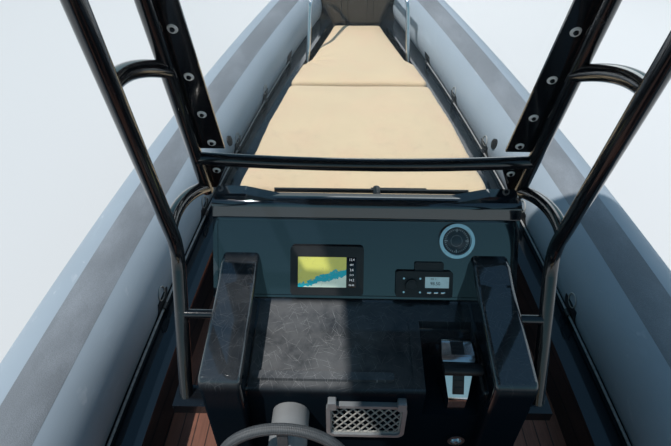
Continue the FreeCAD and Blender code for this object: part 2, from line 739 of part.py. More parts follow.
def make_legs(rails, console):
    """The four legs, with a foot and a stub that hold each aft leg to the console."""
    aft_leg = bent_tube(AFT_LEG, (AFT_LEG_BEND,), FRAME_TUBE_RADIUS)
    fore_leg = rod(*FORE_LEG, FRAME_TUBE_RADIUS)
    foot = box((430, -598, 858), (585, -522, 896))
    stub = rod((430, -420, 1120), (554, -420, 1120), STUB_RADIUS)
    legs = both_sides(Part.makeCompound([fused([aft_leg, foot, stub]), fore_leg]))
    cut = [leg.cut(console).cut(rails) for leg in legs.Solids]
    return Part.makeCompound([biggest(leg) for leg in cut])


def leg_place(share):
    """A point of the forward leg's middle line, by its share from foot to top."""
    foot, top = (Vector(*p) for p in FORE_LEG)
    return foot + (top - foot) * share


def screen_normal():
    """Square to the forward legs, pointing ahead."""
    return (leg_place(1) - leg_place(0)).cross(X_AXIS).normalize()


def make_screen_plates():
    """A flat strip inboard of each forward leg for the screen's bolts, and a gusset below it."""
    ahead = screen_normal()
    leg = rod(*FORE_LEG, FRAME_TUBE_RADIUS)
    start, top, knee, tip = (leg_place(share) for share in (PLATE_START, PLATE_END, GUSSET_TOP, 0))
    strip = [start, Vector(PLATE_INNER, start.y, start.z), Vector(PLATE_INNER, top.y, top.z), top]
    gusset = [knee, Vector(PLATE_INNER + 4, knee.y, knee.z), Vector(tip.x - 32, tip.y, tip.z), tip]
    plates = []
    for corners in (strip, gusset):
        face = Part.Face(Part.makePolygon(corners + corners[:1]))
        plate = moved(face.extrude(ahead * PLATE_THICKNESS), *(ahead * (FRAME_TUBE_RADIUS - PLATE_THICKNESS)))
        plates.append(biggest(plate.cut(leg)))
    return both_sides(Part.makeCompound(plates))


def make_screen(console):
    """The clear panel on the front of the forward legs, from below the brow up to the roof."""
    ahead = screen_normal()
    foot, top = leg_place(SCREEN_FOOT), leg_place(SCREEN_TOP)
    corners = [Vector(-foot.x, foot.y, foot.z), foot, top, Vector(-top.x, top.y, top.z)]
    face = Part.Face(Part.makePolygon(corners + corners[:1]))
    panel = moved(face.extrude(ahead * SCREEN_THICKNESS), *(ahead * (FRAME_TUBE_RADIUS + SEAT_GAP)))
    return biggest(panel.cut([console, wiper_drive(SEAT_GAP)]))


def make_cross_tube(legs):
    end_x, end_y, end_z = CROSS_TUBE_END
    middle = (0, end_y, end_z - CROSS_TUBE_SAG)
    tube = arc_tube((-end_x, end_y, end_z), middle, (end_x, end_y, end_z), FRAME_TUBE_RADIUS)
    return biggest(tube.cut(legs))


def make_link_tubes(legs):
    """The short bowed tubes between the legs: one high up, one at the console's top corner."""
    links = [biggest(arc_tube(*row, FRAME_TUBE_RADIUS).cut(legs)) for row in LINK_TUBES]
    return both_sides(Part.makeCompound(links))


def make_side_rails():
    aft_y, fore_y = ROOF_AFT_Y + 120, ROOF_FORE_Y - 90
    rail = rod((RAIL_TUBE_HALF, aft_y, RAIL_TUBE_Z), (RAIL_TUBE_HALF, fore_y, RAIL_TUBE_Z),
               FRAME_TUBE_RADIUS)
    return both_sides(rail)


def make_cross_rails(side_rails):
    rails = []
    for y in (ROOF_AFT_Y + 160, -900.0, ROOF_FORE_Y - 130):
        rail = rod((-RAIL_TUBE_HALF, y, RAIL_TUBE_Z), (RAIL_TUBE_HALF, y, RAIL_TUBE_Z), ROOF_TUBE_RADIUS)
        rails.append(biggest(rail.cut(side_rails)))
    return Part.makeCompound(rails)


def make_roof():
    """A cambered panel with rounded corners in plan."""
    low = RAIL_TUBE_Z + FRAME_TUBE_RADIUS
    half = ROOF_HALF_WIDTH
    edge = low + ROOF_THICKNESS
    reach = half + ROOF_CAMBER
    over = ROOF_CAMBER * (reach / half) ** 2 - ROOF_CAMBER
    start = ROOF_AFT_Y - ROOF_CAMBER
    side = edge - over
    crest = Vector(0, start, edge + ROOF_CAMBER)
    crown = Part.Arc(Vector(reach, start, side), crest, Vector(-reach, start, side))
    wire = Part.Wire([
        Part.makeLine(Vector(-reach, start, low), Vector(reach, start, low)),
        Part.makeLine(Vector(reach, start, low), Vector(reach, start, side)),
        crown.toShape(),
        Part.makeLine(Vector(-reach, start, side), Vector(-reach, start, low)),
    ])
    slab = Part.Face(wire).extrude(Vector(0, ROOF_FORE_Y - ROOF_AFT_Y + 2 * ROOF_CAMBER, 0))
    corners = rectangle(-half, half, ROOF_AFT_Y, ROOF_FORE_Y, 160)
    return slab.common(plan_slab(corners, low, edge + 2 * ROOF_CAMBER))


WIPER_X = 55.0
WIPER_BLADE_Y = 39.0


def wiper_drive(gap=0.0):
    """The wiper's spindle, which runs from the console through the screen."""
    return rod((WIPER_X, -60, WIPER_Z), (WIPER_X, WIPER_BLADE_Y + 20, WIPER_Z), 14 + gap)


def make_wiper(console):
    """The wiper's arm and blade lying along the foot of the screen, with its drive."""
    y, z = WIPER_BLADE_Y, WIPER_Z
    blade = box((-315, y, z - 7), (385, y + 9, z + 7))
    arm = box((WIPER_X - 20, y + 9, z - 6), (235, y + 18, z + 6))
    return biggest(fused([blade, arm, wiper_drive()]).cut(console))


def make_plotter():
    half_w, half_h = 121.0, 82.0
    body = plan_slab(rectangle(-half_w, half_w, -half_h, half_h, 12), 0, 26)
    screen = plan_slab(rectangle(-97, 65, -56, 47, 3), 23, 30)
    body = body.cut(screen)
    return on_panel(moved(body, PLOTTER_X, PLOTTER_UP, 0))


def make_radio():
    body = plan_slab(rectangle(-94, 94, -44, 44, 9), 0, 18)
    cap = plan_slab(rectangle(-32, 64, 42, 73, 6), 0, 10)
    knob = Part.makeCylinder(20, 12, Vector(-42, -3, 16))
    window = plan_slab(rectangle(2, 82, -12, 26, 2), 16, 20)
    buttons = [plan_slab(rectangle(x - 7, x + 7, -30, -23, 2), 17, 21) for x in (16, 39, 62)]
    body = fused([body.cut(window), cap, knob] + buttons)
    return on_panel(moved(body, RADIO_X, RADIO_UP, 0))


def make_compass():
    """The compass's bezel and its domed glass."""
    ring = Part.makeCylinder(58, 16).cut(Part.makeCylinder(47, 20, Vector(0, 0, 5)))
    inside = Part.makeCylinder(47 - SEAT_GAP, 30, Vector(0, 0, 5))
    glass = Part.makeSphere(60, Vector(0, 0, -38)).common(inside)
    return [on_panel(moved(shape, COMPASS_X, COMPASS_UP, 0)) for shape in (ring, glass)]


def make_throttle():
    """The lever binnacle in its recess with its arm, and the bar grip on the arm's end."""
    side = side_slab([(-440, 940, 0), (-428, 1038, 18), (-455, 1064, 26), (-520, 1052, 35), (-592, 950, 25),
                      (-592, 860, 0)], -60, 60)
    plan = plan_slab([(-42, -425, 14), (42, -425, 14), (50, -515, 20), (27, -596, 14), (-27, -596, 14),
                      (-50, -515, 20)], 850, 1080)
    arm = side_slab([(-530, 985, 12), (-500, 990, 12), (-530, 1062, 14), (-566, 1058, 14)], -66, -50)
    below = side_slab([(-700, 800, 0), (-700, RECESS[2][1] - 31, 0)] + [RECESS[2], RECESS[1], RECESS[0]]
                      + [(-300, 1090, 0), (-300, 800, 0)], -90, 90)
    body = side.common(plan).cut(below)
    grip_rows = [(-575, 1040, 12), (-536, 1026, 12), (-528, 1050, 12), (-567, 1066, 12)]
    grip = side_slab(grip_rows, -50 + SEAT_GAP, 62)
    arm = fused([body, arm]).cut(grip)
    return [moved(shape, THROTTLE_X + CONSOLE_X, 0, 0) for shape in (biggest(arm), grip)]


NET_PITCH = 27.0
NET_STRAND = 3.0


def make_net_pocket():
    """A bright frame with two clips on the console's aft face, and the slanting net inside it."""
    face = CONSOLE_AFT_Y
    frame = end_slab(rectangle(-122, 122, 778, 952, 26), face - 16, face)
    inside = end_slab(rectangle(-109, 109, 791, 939, 14), face - 20, face + 1)
    clips = [end_slab(rectangle(x - 13, x + 13, 940, 974, 5), face - 24, face) for x in (-104, 104)]
    half, low, high = 109 - SEAT_GAP, 791 + SEAT_GAP, 939 - SEAT_GAP
    window = end_slab(rectangle(-half, half, low, high, 14), face - 9, face - 3)
    strands = []
    for i in range(-9, 10):
        for lean in (-35, 35):
            strand = box((-NET_STRAND / 2, face - 8, -190), (NET_STRAND / 2, face - 4, 190))
            strand = turned(strand, Vector(0, face, 0), Y_AXIS, lean)
            strands.append(moved(strand, i * NET_PITCH, 0, 865))
    edge = window.cut(end_slab(rectangle(-104, 104, 796, 934, 10), face - 10, face))
    net = fused([edge] + strands).common(window)
    frame = fused([frame.cut(inside)] + clips)
    return [moved(shape, CONSOLE_X + POCKET_X, 0, 0) for shape in (frame, net)]


def make_dash_socket():
    x, z = SOCKET_X + CONSOLE_X, SOCKET_Z
    ring = rod((x, CONSOLE_AFT_Y, z), (x, CONSOLE_AFT_Y - 12, z), 27)
    return ring.cut(rod((x, CONSOLE_AFT_Y - 4, z), (x, CONSOLE_AFT_Y - 20, z), 17))


def make_front_cushion():
    low = FRONT_SEAT_Z + SOFT_GAP
    high = low + SEAT_CUSHION_THICKNESS
    slab = plan_slab(rectangle(-420, 420, CONSOLE_FRONT_Y + 60, FRONT_SEAT_Y - 12, 50), low, high)
    return moved(softened(slab, low, high, 22), x=CONSOLE_X)


def make_helm_seat(sole_z):
    half = HELM_SEAT_HALF_WIDTH
    front = HELM_SEAT_Y + HELM_SEAT_LENGTH
    side = [(HELM_SEAT_Y + 30, sole_z, 0), (HELM_SEAT_Y, HELM_SEAT_TOP, 30), (front, HELM_SEAT_TOP, 30),
            (front - 70, sole_z, 0)]
    base = side_slab(side, -half, half)
    low = HELM_SEAT_TOP + SOFT_GAP
    seat = plan_slab(rectangle(-half - 20, half + 20, HELM_SEAT_Y + 10, front + 25, 60), low, low + 100)
    seat = softened(seat, low, low + 100, 30)
    posts = []
    for x in (-half + 60, half - 60):
        path = ((x, HELM_SEAT_Y - 40, 620), (x, HELM_SEAT_Y - 60, 1230))
        post = rod(path[0], path[1], 17)
        lug = rod((x, HELM_SEAT_Y + 20, 640), (x, HELM_SEAT_Y - 41, 640), 15)
        lug_top = rod((x, HELM_SEAT_Y + 20, 780), (x, HELM_SEAT_Y - 45, 780), 15)
        posts.append(fused([post, lug, lug_top]).cut(base))
    back_low = low + 130
    back = plan_slab(rectangle(-half, half, HELM_SEAT_Y - 38, HELM_SEAT_Y + 52, 35), back_low, back_low + 280)
    back = softened(back, back_low, back_low + 280, 28)
    posts = Part.makeCompound([biggest(p) for p in posts])
    return base, seat, back.cut(posts), posts


def make_bench(sole_z):
    half, aft, fore = BENCH_HALF_WIDTH, BENCH_AFT_Y, BENCH_FORE_Y
    side = [(aft, sole_z, 0), (aft, BENCH_TOP, 0), (fore, BENCH_TOP, 25), (fore - 50, sole_z, 0)]
    block = side_slab(side, -half, half)
    hollow = box((-half + BENCH_WALL, aft + BENCH_SHELF + BENCH_WALL, sole_z + BENCH_WALL),
                 (half - BENCH_WALL, fore - 50 - BENCH_WALL, BENCH_TOP + 1))
    base = block.cut(hollow)
    hinge_y = aft + BENCH_SHELF
    low = BENCH_TOP + SEAT_GAP
    lid = plan_slab(rectangle(-half, half, hinge_y, fore, 20), low, low + BENCH_LID_THICKNESS)
    soft_low = low + BENCH_LID_THICKNESS + SEAT_GAP
    cushion = plan_slab(rectangle(-half + 10, half - 10, hinge_y + 6, fore - 6, 40), soft_low, soft_low + 95)
    cushion = softened(cushion, soft_low, soft_low + 95, 26)
    back_low = BENCH_TOP + SEAT_GAP
    back = plan_slab(rectangle(-half + 30, half - 30, aft + 4, aft + 84, 30), back_low, back_low + 360)
    back = softened(back, back_low, back_low + 360, 26)
    return base, lid, cushion, back


def make_clamp():
    """The two clamp plates over the transom, joined by the tilt tube."""
    face, front = TRANSOM_Y, TRANSOM_Y + TRANSOM_THICKNESS
    top = ENGINE_NOTCH_Z
    foot = top - 360
    corners = [
        (face, foot, 0), (face, top, 0), (front, top, 0), (front, top - 85, 0), (front + 26, top - 85, 0),
        (front + 26, top + 34, 18), (TILT_Y + 10, TILT_Z + 42, 30), (TILT_Y - 40, TILT_Z + 42, 30),
        (TILT_Y - 40, TILT_Z - 50, 30), (face - 55, foot, 20),
    ]
    plates = [side_slab(corners, CLAMP_HALF_WIDTH - CLAMP_THICKNESS, CLAMP_HALF_WIDTH)]
    plates.append(mirrored(plates[0]))
    reach = CLAMP_HALF_WIDTH + 14
    tube = rod((-reach, TILT_Y, TILT_Z), (reach, TILT_Y, TILT_Z), TILT_TUBE_RADIUS)
    return fused(plates + [tube])


def make_swivel():
    """The block that tilts on the tilt tube and holds the steering post."""
    half = CLAMP_HALF_WIDTH - CLAMP_THICKNESS - 6
    lug_top, lug_low = TILT_Z + LUG_RADIUS, TILT_Z - LUG_RADIUS
    lug = side_slab([(TILT_Y + LUG_RADIUS, lug_low, 37), (TILT_Y + LUG_RADIUS, lug_top, 37),
                     (TILT_Y - LUG_RADIUS, lug_top, 20), (TILT_Y - LUG_RADIUS, lug_low, 20)], -half, half)
    web = side_slab([(TILT_Y - 10, lug_low, 0), (TILT_Y - 10, lug_top, 0), (STEER_Y + 40, SWIVEL_TOP_Z, 10),
                     (STEER_Y, SWIVEL_TOP_Z, 0), (STEER_Y, STEER_LOW_Z, 0), (STEER_Y + 34, STEER_LOW_Z, 20),
                     (TILT_Y - 20, STEER_LOW_Z + 190, 80)], -38, 38)
    post = rod((0, STEER_Y, STEER_LOW_Z), (0, STEER_Y, SWIVEL_TOP_Z), 46)
    body = fused([lug, web, post])
    body = body.cut(rod((-200, TILT_Y, TILT_Z), (200, TILT_Y, TILT_Z), TILT_TUBE_RADIUS + SEAT_GAP))
    bore = rod((0, STEER_Y, STEER_LOW_Z - 10), (0, STEER_Y, TILT_Z + 100), STEER_POST_RADIUS + SEAT_GAP)
    return body.cut(bore)


def oval(centre_y, length, width, z, front_share=0.5):
    """A rounded outline in plan for the leg and cowl, narrower at the front."""
    half_l, half_w = length / 2, width / 2
    front_w = half_w * front_share
    corners = [
        (-half_w, centre_y - half_l, half_w * 0.7), (half_w, centre_y - half_l, half_w * 0.7),
        (half_w, centre_y + half_l * 0.2, half_w * 0.5), (front_w, centre_y + half_l, front_w * 0.8),
        (-front_w, centre_y + half_l, front_w * 0.8), (-half_w, centre_y + half_l * 0.2, half_w * 0.5),
    ]
    return outline(corners, lambda u, v: Vector(u, v, z))


# Leg and cowl sections: height, middle along y, length, width, front width share
PAN_SECTIONS = ((COWL_BASE_Z, -4170.0, 640.0, 440.0, 0.55), (PAN_LOW_Z, -4140.0, 400.0, 260.0, 0.6))
LEG_SECTIONS = ((PAN_LOW_Z, -4155.0, 260.0, 170.0, 0.6), (STEER_LOW_Z - 20, -4135.0, 215.0, 120.0, 0.5),
                (PROP_Z + 180, -4140.0, 225.0, 84.0, 0.4), (PROP_Z + 20, -4160.0, 290.0, 70.0, 0.4))
COWL_SECTIONS = (
    (COWL_BASE_Z, -4170.0, 640.0, 440.0, 0.55),
    (COWL_BASE_Z + 130, -4180.0, 700.0, 520.0, 0.6),
    (COWL_BASE_Z + 430, -4190.0, 700.0, 520.0, 0.6),
    (COWL_BASE_Z + 620, -4200.0, 620.0, 460.0, 0.6),
    (COWL_BASE_Z + 680, -4210.0, 480.0, 330.0, 0.6),
)


def loft_of(rows):
    ovals = [oval(y, length, width, z, share) for z, y, length, width, share in rows]
    return Part.makeLoft(ovals, True, False)


def make_engine_leg():
    pan = loft_of(PAN_SECTIONS)
    leg = loft_of(LEG_SECTIONS)
    post = rod((0, STEER_Y, STEER_LOW_Z - 30), (0, STEER_Y, PAN_LOW_Z + 20), STEER_POST_RADIUS)
    lower = plan_slab(rectangle(-45, 45, -4100, STEER_Y + 45, 40), STEER_LOW_Z - 60, STEER_LOW_Z - SEAT_GAP)
    plate_z = PROP_Z + PROP_RADIUS + 22
    plate_plan = [(-60, -4000, 30), (60, -4000, 30), (125, -4200, 40), (110, -4480, 60), (-110, -4480, 60),
                  (-125, -4200, 40)]
    plate = plan_slab(plate_plan, plate_z, plate_z + 12)
    ahead = box((-70, -4040, PROP_Z - 70), (70, -3960, PROP_Z + 70))
    nose = Part.makeSphere(62, Vector(0, -4040, PROP_Z)).common(ahead)
    barrel = rod((0, -4040, PROP_Z), (0, PROP_Y + 10, PROP_Z), 62)
    taper = Part.makeCone(62, PROP_HUB_RADIUS, 10, Vector(0, PROP_Y + 10, PROP_Z), Y_AXIS * -1)
    keel = PROP_Z - 30
    fin = [(-4080, keel, 0), (-4330, keel, 0), (-4350, keel - 200, 20), (-4270, keel - 210, 20)]
    skeg = side_slab(fin, -7, 7)
    return fused([pan, leg, post, lower, plate, nose, barrel, taper, skeg])


def make_cowl():
    return loft_of(COWL_SECTIONS)


# Blade sections: radius, chord, thickness
BLADE_ROWS = ((46.0, 95.0, 14.0), (100.0, 150.0, 10.0), (155.0, 150.0, 7.0), (PROP_RADIUS, 60.0, 4.0))
PROP_PITCH = 480.0


def make_propeller():
    end = Vector(0, PROP_Y - 130, PROP_Z)
    hub = rod((0, PROP_Y - SEAT_GAP, PROP_Z), end, PROP_HUB_RADIUS)
    rim = Part.makeCone(PROP_HUB_RADIUS, PROP_HUB_RADIUS + 8, 14, end, Y_AXIS * -1)
    pieces = [hub, rim]
    for i in range(PROP_BLADES):
        wires = []
        for radius, chord, thickness in BLADE_ROWS:
            pitch = math.degrees(math.atan2(PROP_PITCH, 2 * math.pi * radius))
            along = Vector(cos(pitch), sin(pitch), 0)
            across = Vector(-sin(pitch), cos(pitch), 0)
            corners = []
            for a, t in ((-0.5, 0), (0, 0.5), (0.5, 0), (0, -0.5)):
                corners.append(Vector(0, 0, radius) + along * (a * chord) + across * (t * thickness))
            wires.append(Part.makePolygon(corners + corners[:1]))
        blade = Part.makeLoft(wires, True, False)
        blade = moved(turned(blade, ORIGIN, Y_AXIS, i * 360.0 / PROP_BLADES), 0, PROP_Y - 65, PROP_Z)
        pieces.append(blade)
    return fused(pieces)


def make_grab_lines():
    """A line along each tube's inner side, held off it by its holders."""
    radius = TUBE_RADIUS + GRAB_LINE_STANDOFF
    centre = polar(radius, GRAB_LINE_ANGLE, False)
    disc = Part.Face(Part.Wire(Part.makeCircle(GRAB_LINE_RADIUS, centre, Y_AXIS)))
    aft = disc.extrude(Vector(0, GRAB_LINE_AFT_Y - SHEER_START_Y, 0))
    side = disc.revolve(SHEER_CENTRE, SHEER_AXIS, GRAB_LINE_END_TURN)
    return both_sides(fused([aft, side]))


def make_line_holders():
    """Rubber pads on the tube with a loop that the grab line runs through."""
    seat = TUBE_RADIUS + SEAT_GAP
    pad = ring_piece(seat, seat + HOLDER_THICKNESS, HOLDER_TOP_ANGLE, HOLDER_FOOT_ANGLE, False)
    pad = pad.extrude(Y_AXIS * HOLDER_LENGTH)
    pad = moved(pad, y=-HOLDER_LENGTH / 2)
    centre = polar(TUBE_RADIUS + GRAB_LINE_STANDOFF, GRAB_LINE_ANGLE, False)
    loop = Part.makeCylinder(GRAB_LINE_RADIUS + 6, 40, centre - Y_AXIS * 20, Y_AXIS)
    loop = loop.cut(Part.makeCylinder(GRAB_LINE_RADIUS + SEAT_GAP, 60, centre - Y_AXIS * 30, Y_AXIS))
    tube = Part.makeCylinder(seat, 400, SHEER_ROOT - Y_AXIS * 200, Y_AXIS)
    holder = biggest(fused([pad, loop.cut(tube)]))
    holders = [moved(holder, y=y - SHEER_START_Y) for y in HOLDER_STRAIGHT_Y]
    holders += [sheer_turn(holder, degrees) for degrees in HOLDER_TURNS]
    return both_sides(Part.makeCompound(holders))


def make_valves():
    centre = polar(TUBE_RADIUS - 4, VALVE_ANGLE, False)
    outward = (centre - SHEER_ROOT).normalize()
    valve = Part.makeCylinder(VALVE_RADIUS, VALVE_HEIGHT + 4, centre, outward)
    ring = Part.makeCylinder(VALVE_RADIUS - 9, VALVE_HEIGHT + 8, centre, outward)
    body = fused([valve, ring])
    tube = Part.makeCylinder(TUBE_RADIUS + SEAT_GAP, 400, SHEER_ROOT - Y_AXIS * 200, Y_AXIS)
    body = body.cut(tube)
    valves = [moved(body, y=VALVE_STERN_Y - SHEER_START_Y), sheer_turn(body, VALVE_TURN)]
    return both_sides(Part.makeCompound(valves))


def build():
    tube = make_tube()
    coaming = make_coaming()
    hull = make_hull()
    deck_z = TUBE_HEIGHT - DECK_DROP
    sole_z = deck_z + SOLE_THICKNESS
    coaming = biggest(coaming.cut(hull))
    tubes = [tube, mirrored(tube)]
    coamings = [coaming, mirrored(coaming)]
    NODES["hull"] = hull
    for side, name in enumerate(("starboard", "port")):
        NODES["tube_" + name] = tubes[side]
        NODES["coaming_" + name] = coamings[side]
    NODES["rub_strake"] = make_rub_strake()
    NODES["grab_lines"] = make_grab_lines()
    NODES["line_holders"] = make_line_holders()
    NODES["air_valves"] = make_valves()
    NODES["transom"] = make_transom(deck_z)
    NODES["swim_platforms"] = make_platforms(deck_z)
    NODES["sole"] = sole_plan(deck_z, SOLE_THICKNESS)
    NODES["sunpad_base"] = make_sunpad_base(hull)
    NODES["sunpad_aft"] = make_sunpad(PAD_AFT_Y, PAD_SEAM_Y - SOFT_GAP / 2)
    NODES["sunpad_forward"] = make_sunpad(PAD_SEAM_Y + SOFT_GAP / 2, PAD_OUTLINE[-1][0])
    wide_tube = make_tube(BOW_DECK_CLEAR)
    NODES["bow_deck"] = make_bow_deck([hull] + coamings + [wide_tube, mirrored(wide_tube)])
    NODES["bow_locker_lid"] = make_locker_lid()
    NODES["bow_rails"] = make_bow_rails([hull, coamings[0], tubes[0]])
    NODES["bow_eye"] = make_bow_eye().cut(hull)
    NODES["cleats"] = make_cleats()
    console = make_console(sole_z)
    NODES["console"] = moved(console, x=CONSOLE_X)
    NODES["chartplotter"] = make_plotter()
    NODES["radio"] = make_radio()
    NODES["compass"], NODES["compass_glass"] = make_compass()
    NODES["throttle"], NODES["throttle_grip"] = make_throttle()
    NODES["net_pocket"], NODES["net"] = make_net_pocket()
    NODES["dash_socket"] = make_dash_socket()
    NODES["helm_hub"] = make_helm_hub()
    NODES["steering_wheel"] = make_wheel()
    NODES["front_cushion"] = make_front_cushion()
    side_rails = make_side_rails()
    console_by_frame = moved(console, x=CONSOLE_X - FRAME_X)
    legs = make_legs(side_rails, console_by_frame)
    frame = {
        "frame_legs": legs,
        "roof_side_rails": side_rails,
        "roof_cross_rails": make_cross_rails(side_rails),
        "screen_plates": make_screen_plates(),
        "cross_tube": make_cross_tube(legs),
        "link_tubes": make_link_tubes(legs),
        "windscreen": make_screen(console_by_frame),
        "wiper": make_wiper(console_by_frame),
        "roof": make_roof(),
    }
    for name, shape in frame.items():
        NODES[name] = moved(shape, x=FRAME_X)
    helm_names = ("helm_seat", "helm_cushion", "helm_backrest", "backrest_posts")
    NODES.update(zip(helm_names, make_helm_seat(sole_z)))
    bench_names = ("stern_bench", "bench_lid", "bench_cushion", "bench_backrest")
    NODES.update(zip(bench_names, make_bench(sole_z)))
    NODES["engine_clamp"] = make_clamp()
    NODES["engine_swivel"] = make_swivel()
    NODES["engine_leg"] = make_engine_leg()
    NODES["engine_cowl"] = make_cowl()
    NODES["propeller"] = make_propeller()


if __name__ == "__main__":
    os.makedirs("parts", exist_ok=True)
    build()
    for name, shape in NODES.items():
        shape.exportStep("parts/" + name + ".step")
        print(name, shape.isValid(), round(shape.Volume / 1e9, 4), len(shape.Solids))
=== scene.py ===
"""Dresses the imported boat: tubes, console, cushions, fittings, ropes and finishes."""

from math import atan2, cos, degrees, exp, pi, radians, sin, tan

import bmesh
import bpy
from bpy.props import FloatProperty, FloatVectorProperty, PointerProperty
from mathutils import Matrix, Vector, noise


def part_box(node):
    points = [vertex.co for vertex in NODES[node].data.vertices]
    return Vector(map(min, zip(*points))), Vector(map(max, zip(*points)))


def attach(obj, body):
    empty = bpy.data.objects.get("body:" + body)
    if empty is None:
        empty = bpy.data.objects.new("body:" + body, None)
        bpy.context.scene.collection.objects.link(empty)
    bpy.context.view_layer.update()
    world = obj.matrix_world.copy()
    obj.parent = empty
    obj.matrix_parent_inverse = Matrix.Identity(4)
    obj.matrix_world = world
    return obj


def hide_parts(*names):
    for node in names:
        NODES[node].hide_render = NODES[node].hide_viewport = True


bl_info = {
    "name": "Inflatable Boat Dresser",
    "version": (1, 0, 0),
    "blender": (4, 5, 0),
    "location": "3D View > Sidebar > Boat",
    "description": "Gives the packed boat its finishes, cushions, ropes and small fittings",
    "category": "Object",
}

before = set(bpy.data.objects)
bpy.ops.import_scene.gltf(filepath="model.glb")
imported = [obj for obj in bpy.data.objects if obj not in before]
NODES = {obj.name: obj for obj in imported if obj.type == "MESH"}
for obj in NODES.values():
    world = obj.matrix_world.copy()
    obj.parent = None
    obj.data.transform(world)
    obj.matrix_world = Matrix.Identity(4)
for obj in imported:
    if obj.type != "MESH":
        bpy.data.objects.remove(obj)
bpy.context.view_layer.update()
PHOTO_WIDTH = 671
SENSOR_WIDTH = 36.0
X_AXIS, Y_AXIS = Vector((1, 0, 0)), Vector((0, 1, 0))

# The line of the starboard tube, as the frame has it, in metres and degrees
TUBE_RADIUS = 0.235
TUBE_ROOT = Vector((1.210, -0.430, 0.570))
TUBE_END_Y = -3.900
SHEER_RADIUS = 15.350
SHEER_TURN = 18.4
SHEER_TILT = radians(24.3)
SHEER_AXIS = Vector((sin(SHEER_TILT), 0, cos(SHEER_TILT)))
SHEER_CENTRE = TUBE_ROOT + Vector((-cos(SHEER_TILT), 0, sin(SHEER_TILT))) * SHEER_RADIUS

# The dash panel: its middle and how far it leans back
CONSOLE_X = -0.035
PANEL_MIDDLE = Vector((CONSOLE_X, -0.199, 1.191))
PANEL_RISE = radians(57.15)
FRAME_X = -0.045

# How far laid on pieces stand off their tube
STRIP_GAP = 0.0003
LOOP_GAP = 0.0035

# How many frames the cushions' cloth fills for
FILL_FRAMES = 20


def turn_about(centre, axis, turn_degrees):
    turn = Matrix.Rotation(radians(turn_degrees), 4, axis)
    return Matrix.Translation(centre) @ turn @ Matrix.Translation(-centre)


NOSE_ROOT = turn_about(SHEER_CENTRE, SHEER_AXIS, SHEER_TURN) @ TUBE_ROOT
NOSE_HEADING = Matrix.Rotation(radians(SHEER_TURN), 3, SHEER_AXIS) @ Y_AXIS
NOSE_TURN = degrees(NOSE_HEADING.angle(-X_AXIS))
NOSE_AXIS = NOSE_HEADING.cross(-X_AXIS).normalized()
NOSE_RADIUS = NOSE_ROOT.x / (1 - NOSE_HEADING.x) / tan(radians(NOSE_TURN / 2))
NOSE_CENTRE = NOSE_ROOT + NOSE_AXIS.cross(NOSE_HEADING) * NOSE_RADIUS


def section_point(radius, angle_down, side=-1):
    """A point of the tube's section by its angle below level, inboard unless side is 1."""
    angle = radians(angle_down)
    return TUBE_ROOT + Vector((side * radius * cos(angle), 0, -radius * sin(angle)))


def along_tube(turn):
    """What carries a piece drawn at the tube's root forward along the sheer."""
    return turn_about(SHEER_CENTRE, SHEER_AXIS, turn)


def on_panel(across, up, out=0.0):
    """What lays a piece drawn flat, facing +Z, on the dash panel."""
    place = Matrix.Translation(PANEL_MIDDLE) @ Matrix.Rotation(PANEL_RISE, 4, "X")
    return place @ Matrix.Translation((across, up, out))


# Properties that a user would change


def colour(name, description, default):
    limits = {"subtype": "COLOR", "size": 3, "min": 0, "max": 1}
    return FloatVectorProperty(name=name, description=description, default=default, **limits)


def length(name, description, default):
    kind = {"subtype": "DISTANCE", "unit": "LENGTH"}
    return FloatProperty(name=name, description=description, default=default, **kind)


def angle(name, description, default):
    return FloatProperty(name=name, description=description, subtype="ANGLE", default=radians(default))


def watts(name, description, default):
    return FloatProperty(name=name, description=description, min=0, default=default)


class BoatColours(bpy.types.PropertyGroup):
    tube: colour("Tube", "Coated fabric of the air tubes", (0.335, 0.395, 0.460))
    strip: colour("Wear strip", "Ribbed strip along the top of the tubes", (0.235, 0.258, 0.290))
    strake: colour("Rub strake", "Rubber along the outside of the tubes", (0.040, 0.043, 0.048))
    hull: colour("Hull", "Gelcoat of the hull and platforms", (0.070, 0.078, 0.090))
    # Painted reflection: the gelcoat's slight blue-green tint stands in for teal reflections on the glossy
    # black.
    gelcoat: colour("Console", "Black gelcoat of the mouldings", (0.005, 0.009, 0.014))
    pad: colour("Cushions", "Coated cloth of the pads", (0.770, 0.600, 0.390))
    planks: colour("Sole", "Planks of the sole", (0.240, 0.095, 0.060))
    paint: colour("Frame", "Paint of the frame's tubes", (0.006, 0.007, 0.009))
    steel: colour("Steel", "Polished fittings", (0.620, 0.640, 0.660))
    plastic: colour("Plastic", "Black plastic of small fittings", (0.012, 0.012, 0.014))
    rope: colour("Rope", "Twisted grab lines", (0.330, 0.335, 0.340))
    grip: colour("Wheel grip", "Textured grip of the wheel", (0.075, 0.080, 0.087))


class BoatSizes(bpy.types.PropertyGroup):
    strip_inner: angle("Strip inner edge", "Angle from the tube's top, inboard", 32.9)
    strip_outer: angle("Strip outer edge", "Angle from the tube's top, outboard", 5.0)
    strip_thickness: length("Strip thickness", "How far the wear strip stands off the tube", 0.0022)
    voxel_large: length("Voxel of large pads", "Grid that the sunpads are remeshed at", 0.020)
    voxel_small: length("Voxel of seats", "Grid that the seat cushions are remeshed at", 0.012)
    swell: length("Swell", "How far a cushion's cloth may move as it fills", 0.016)
    pressure: FloatProperty(name="Pressure", description="Pressure inside a cushion", default=4.0)
    bolt_radius: length("Bolt radius", "Washer radius on the screen plates", 0.0135)
    rope_radius: length("Rope radius", "Radius of the grab lines", 0.0058)
    rope_pitch: length("Rope pitch", "Length of one full twist of the rope", 0.036)


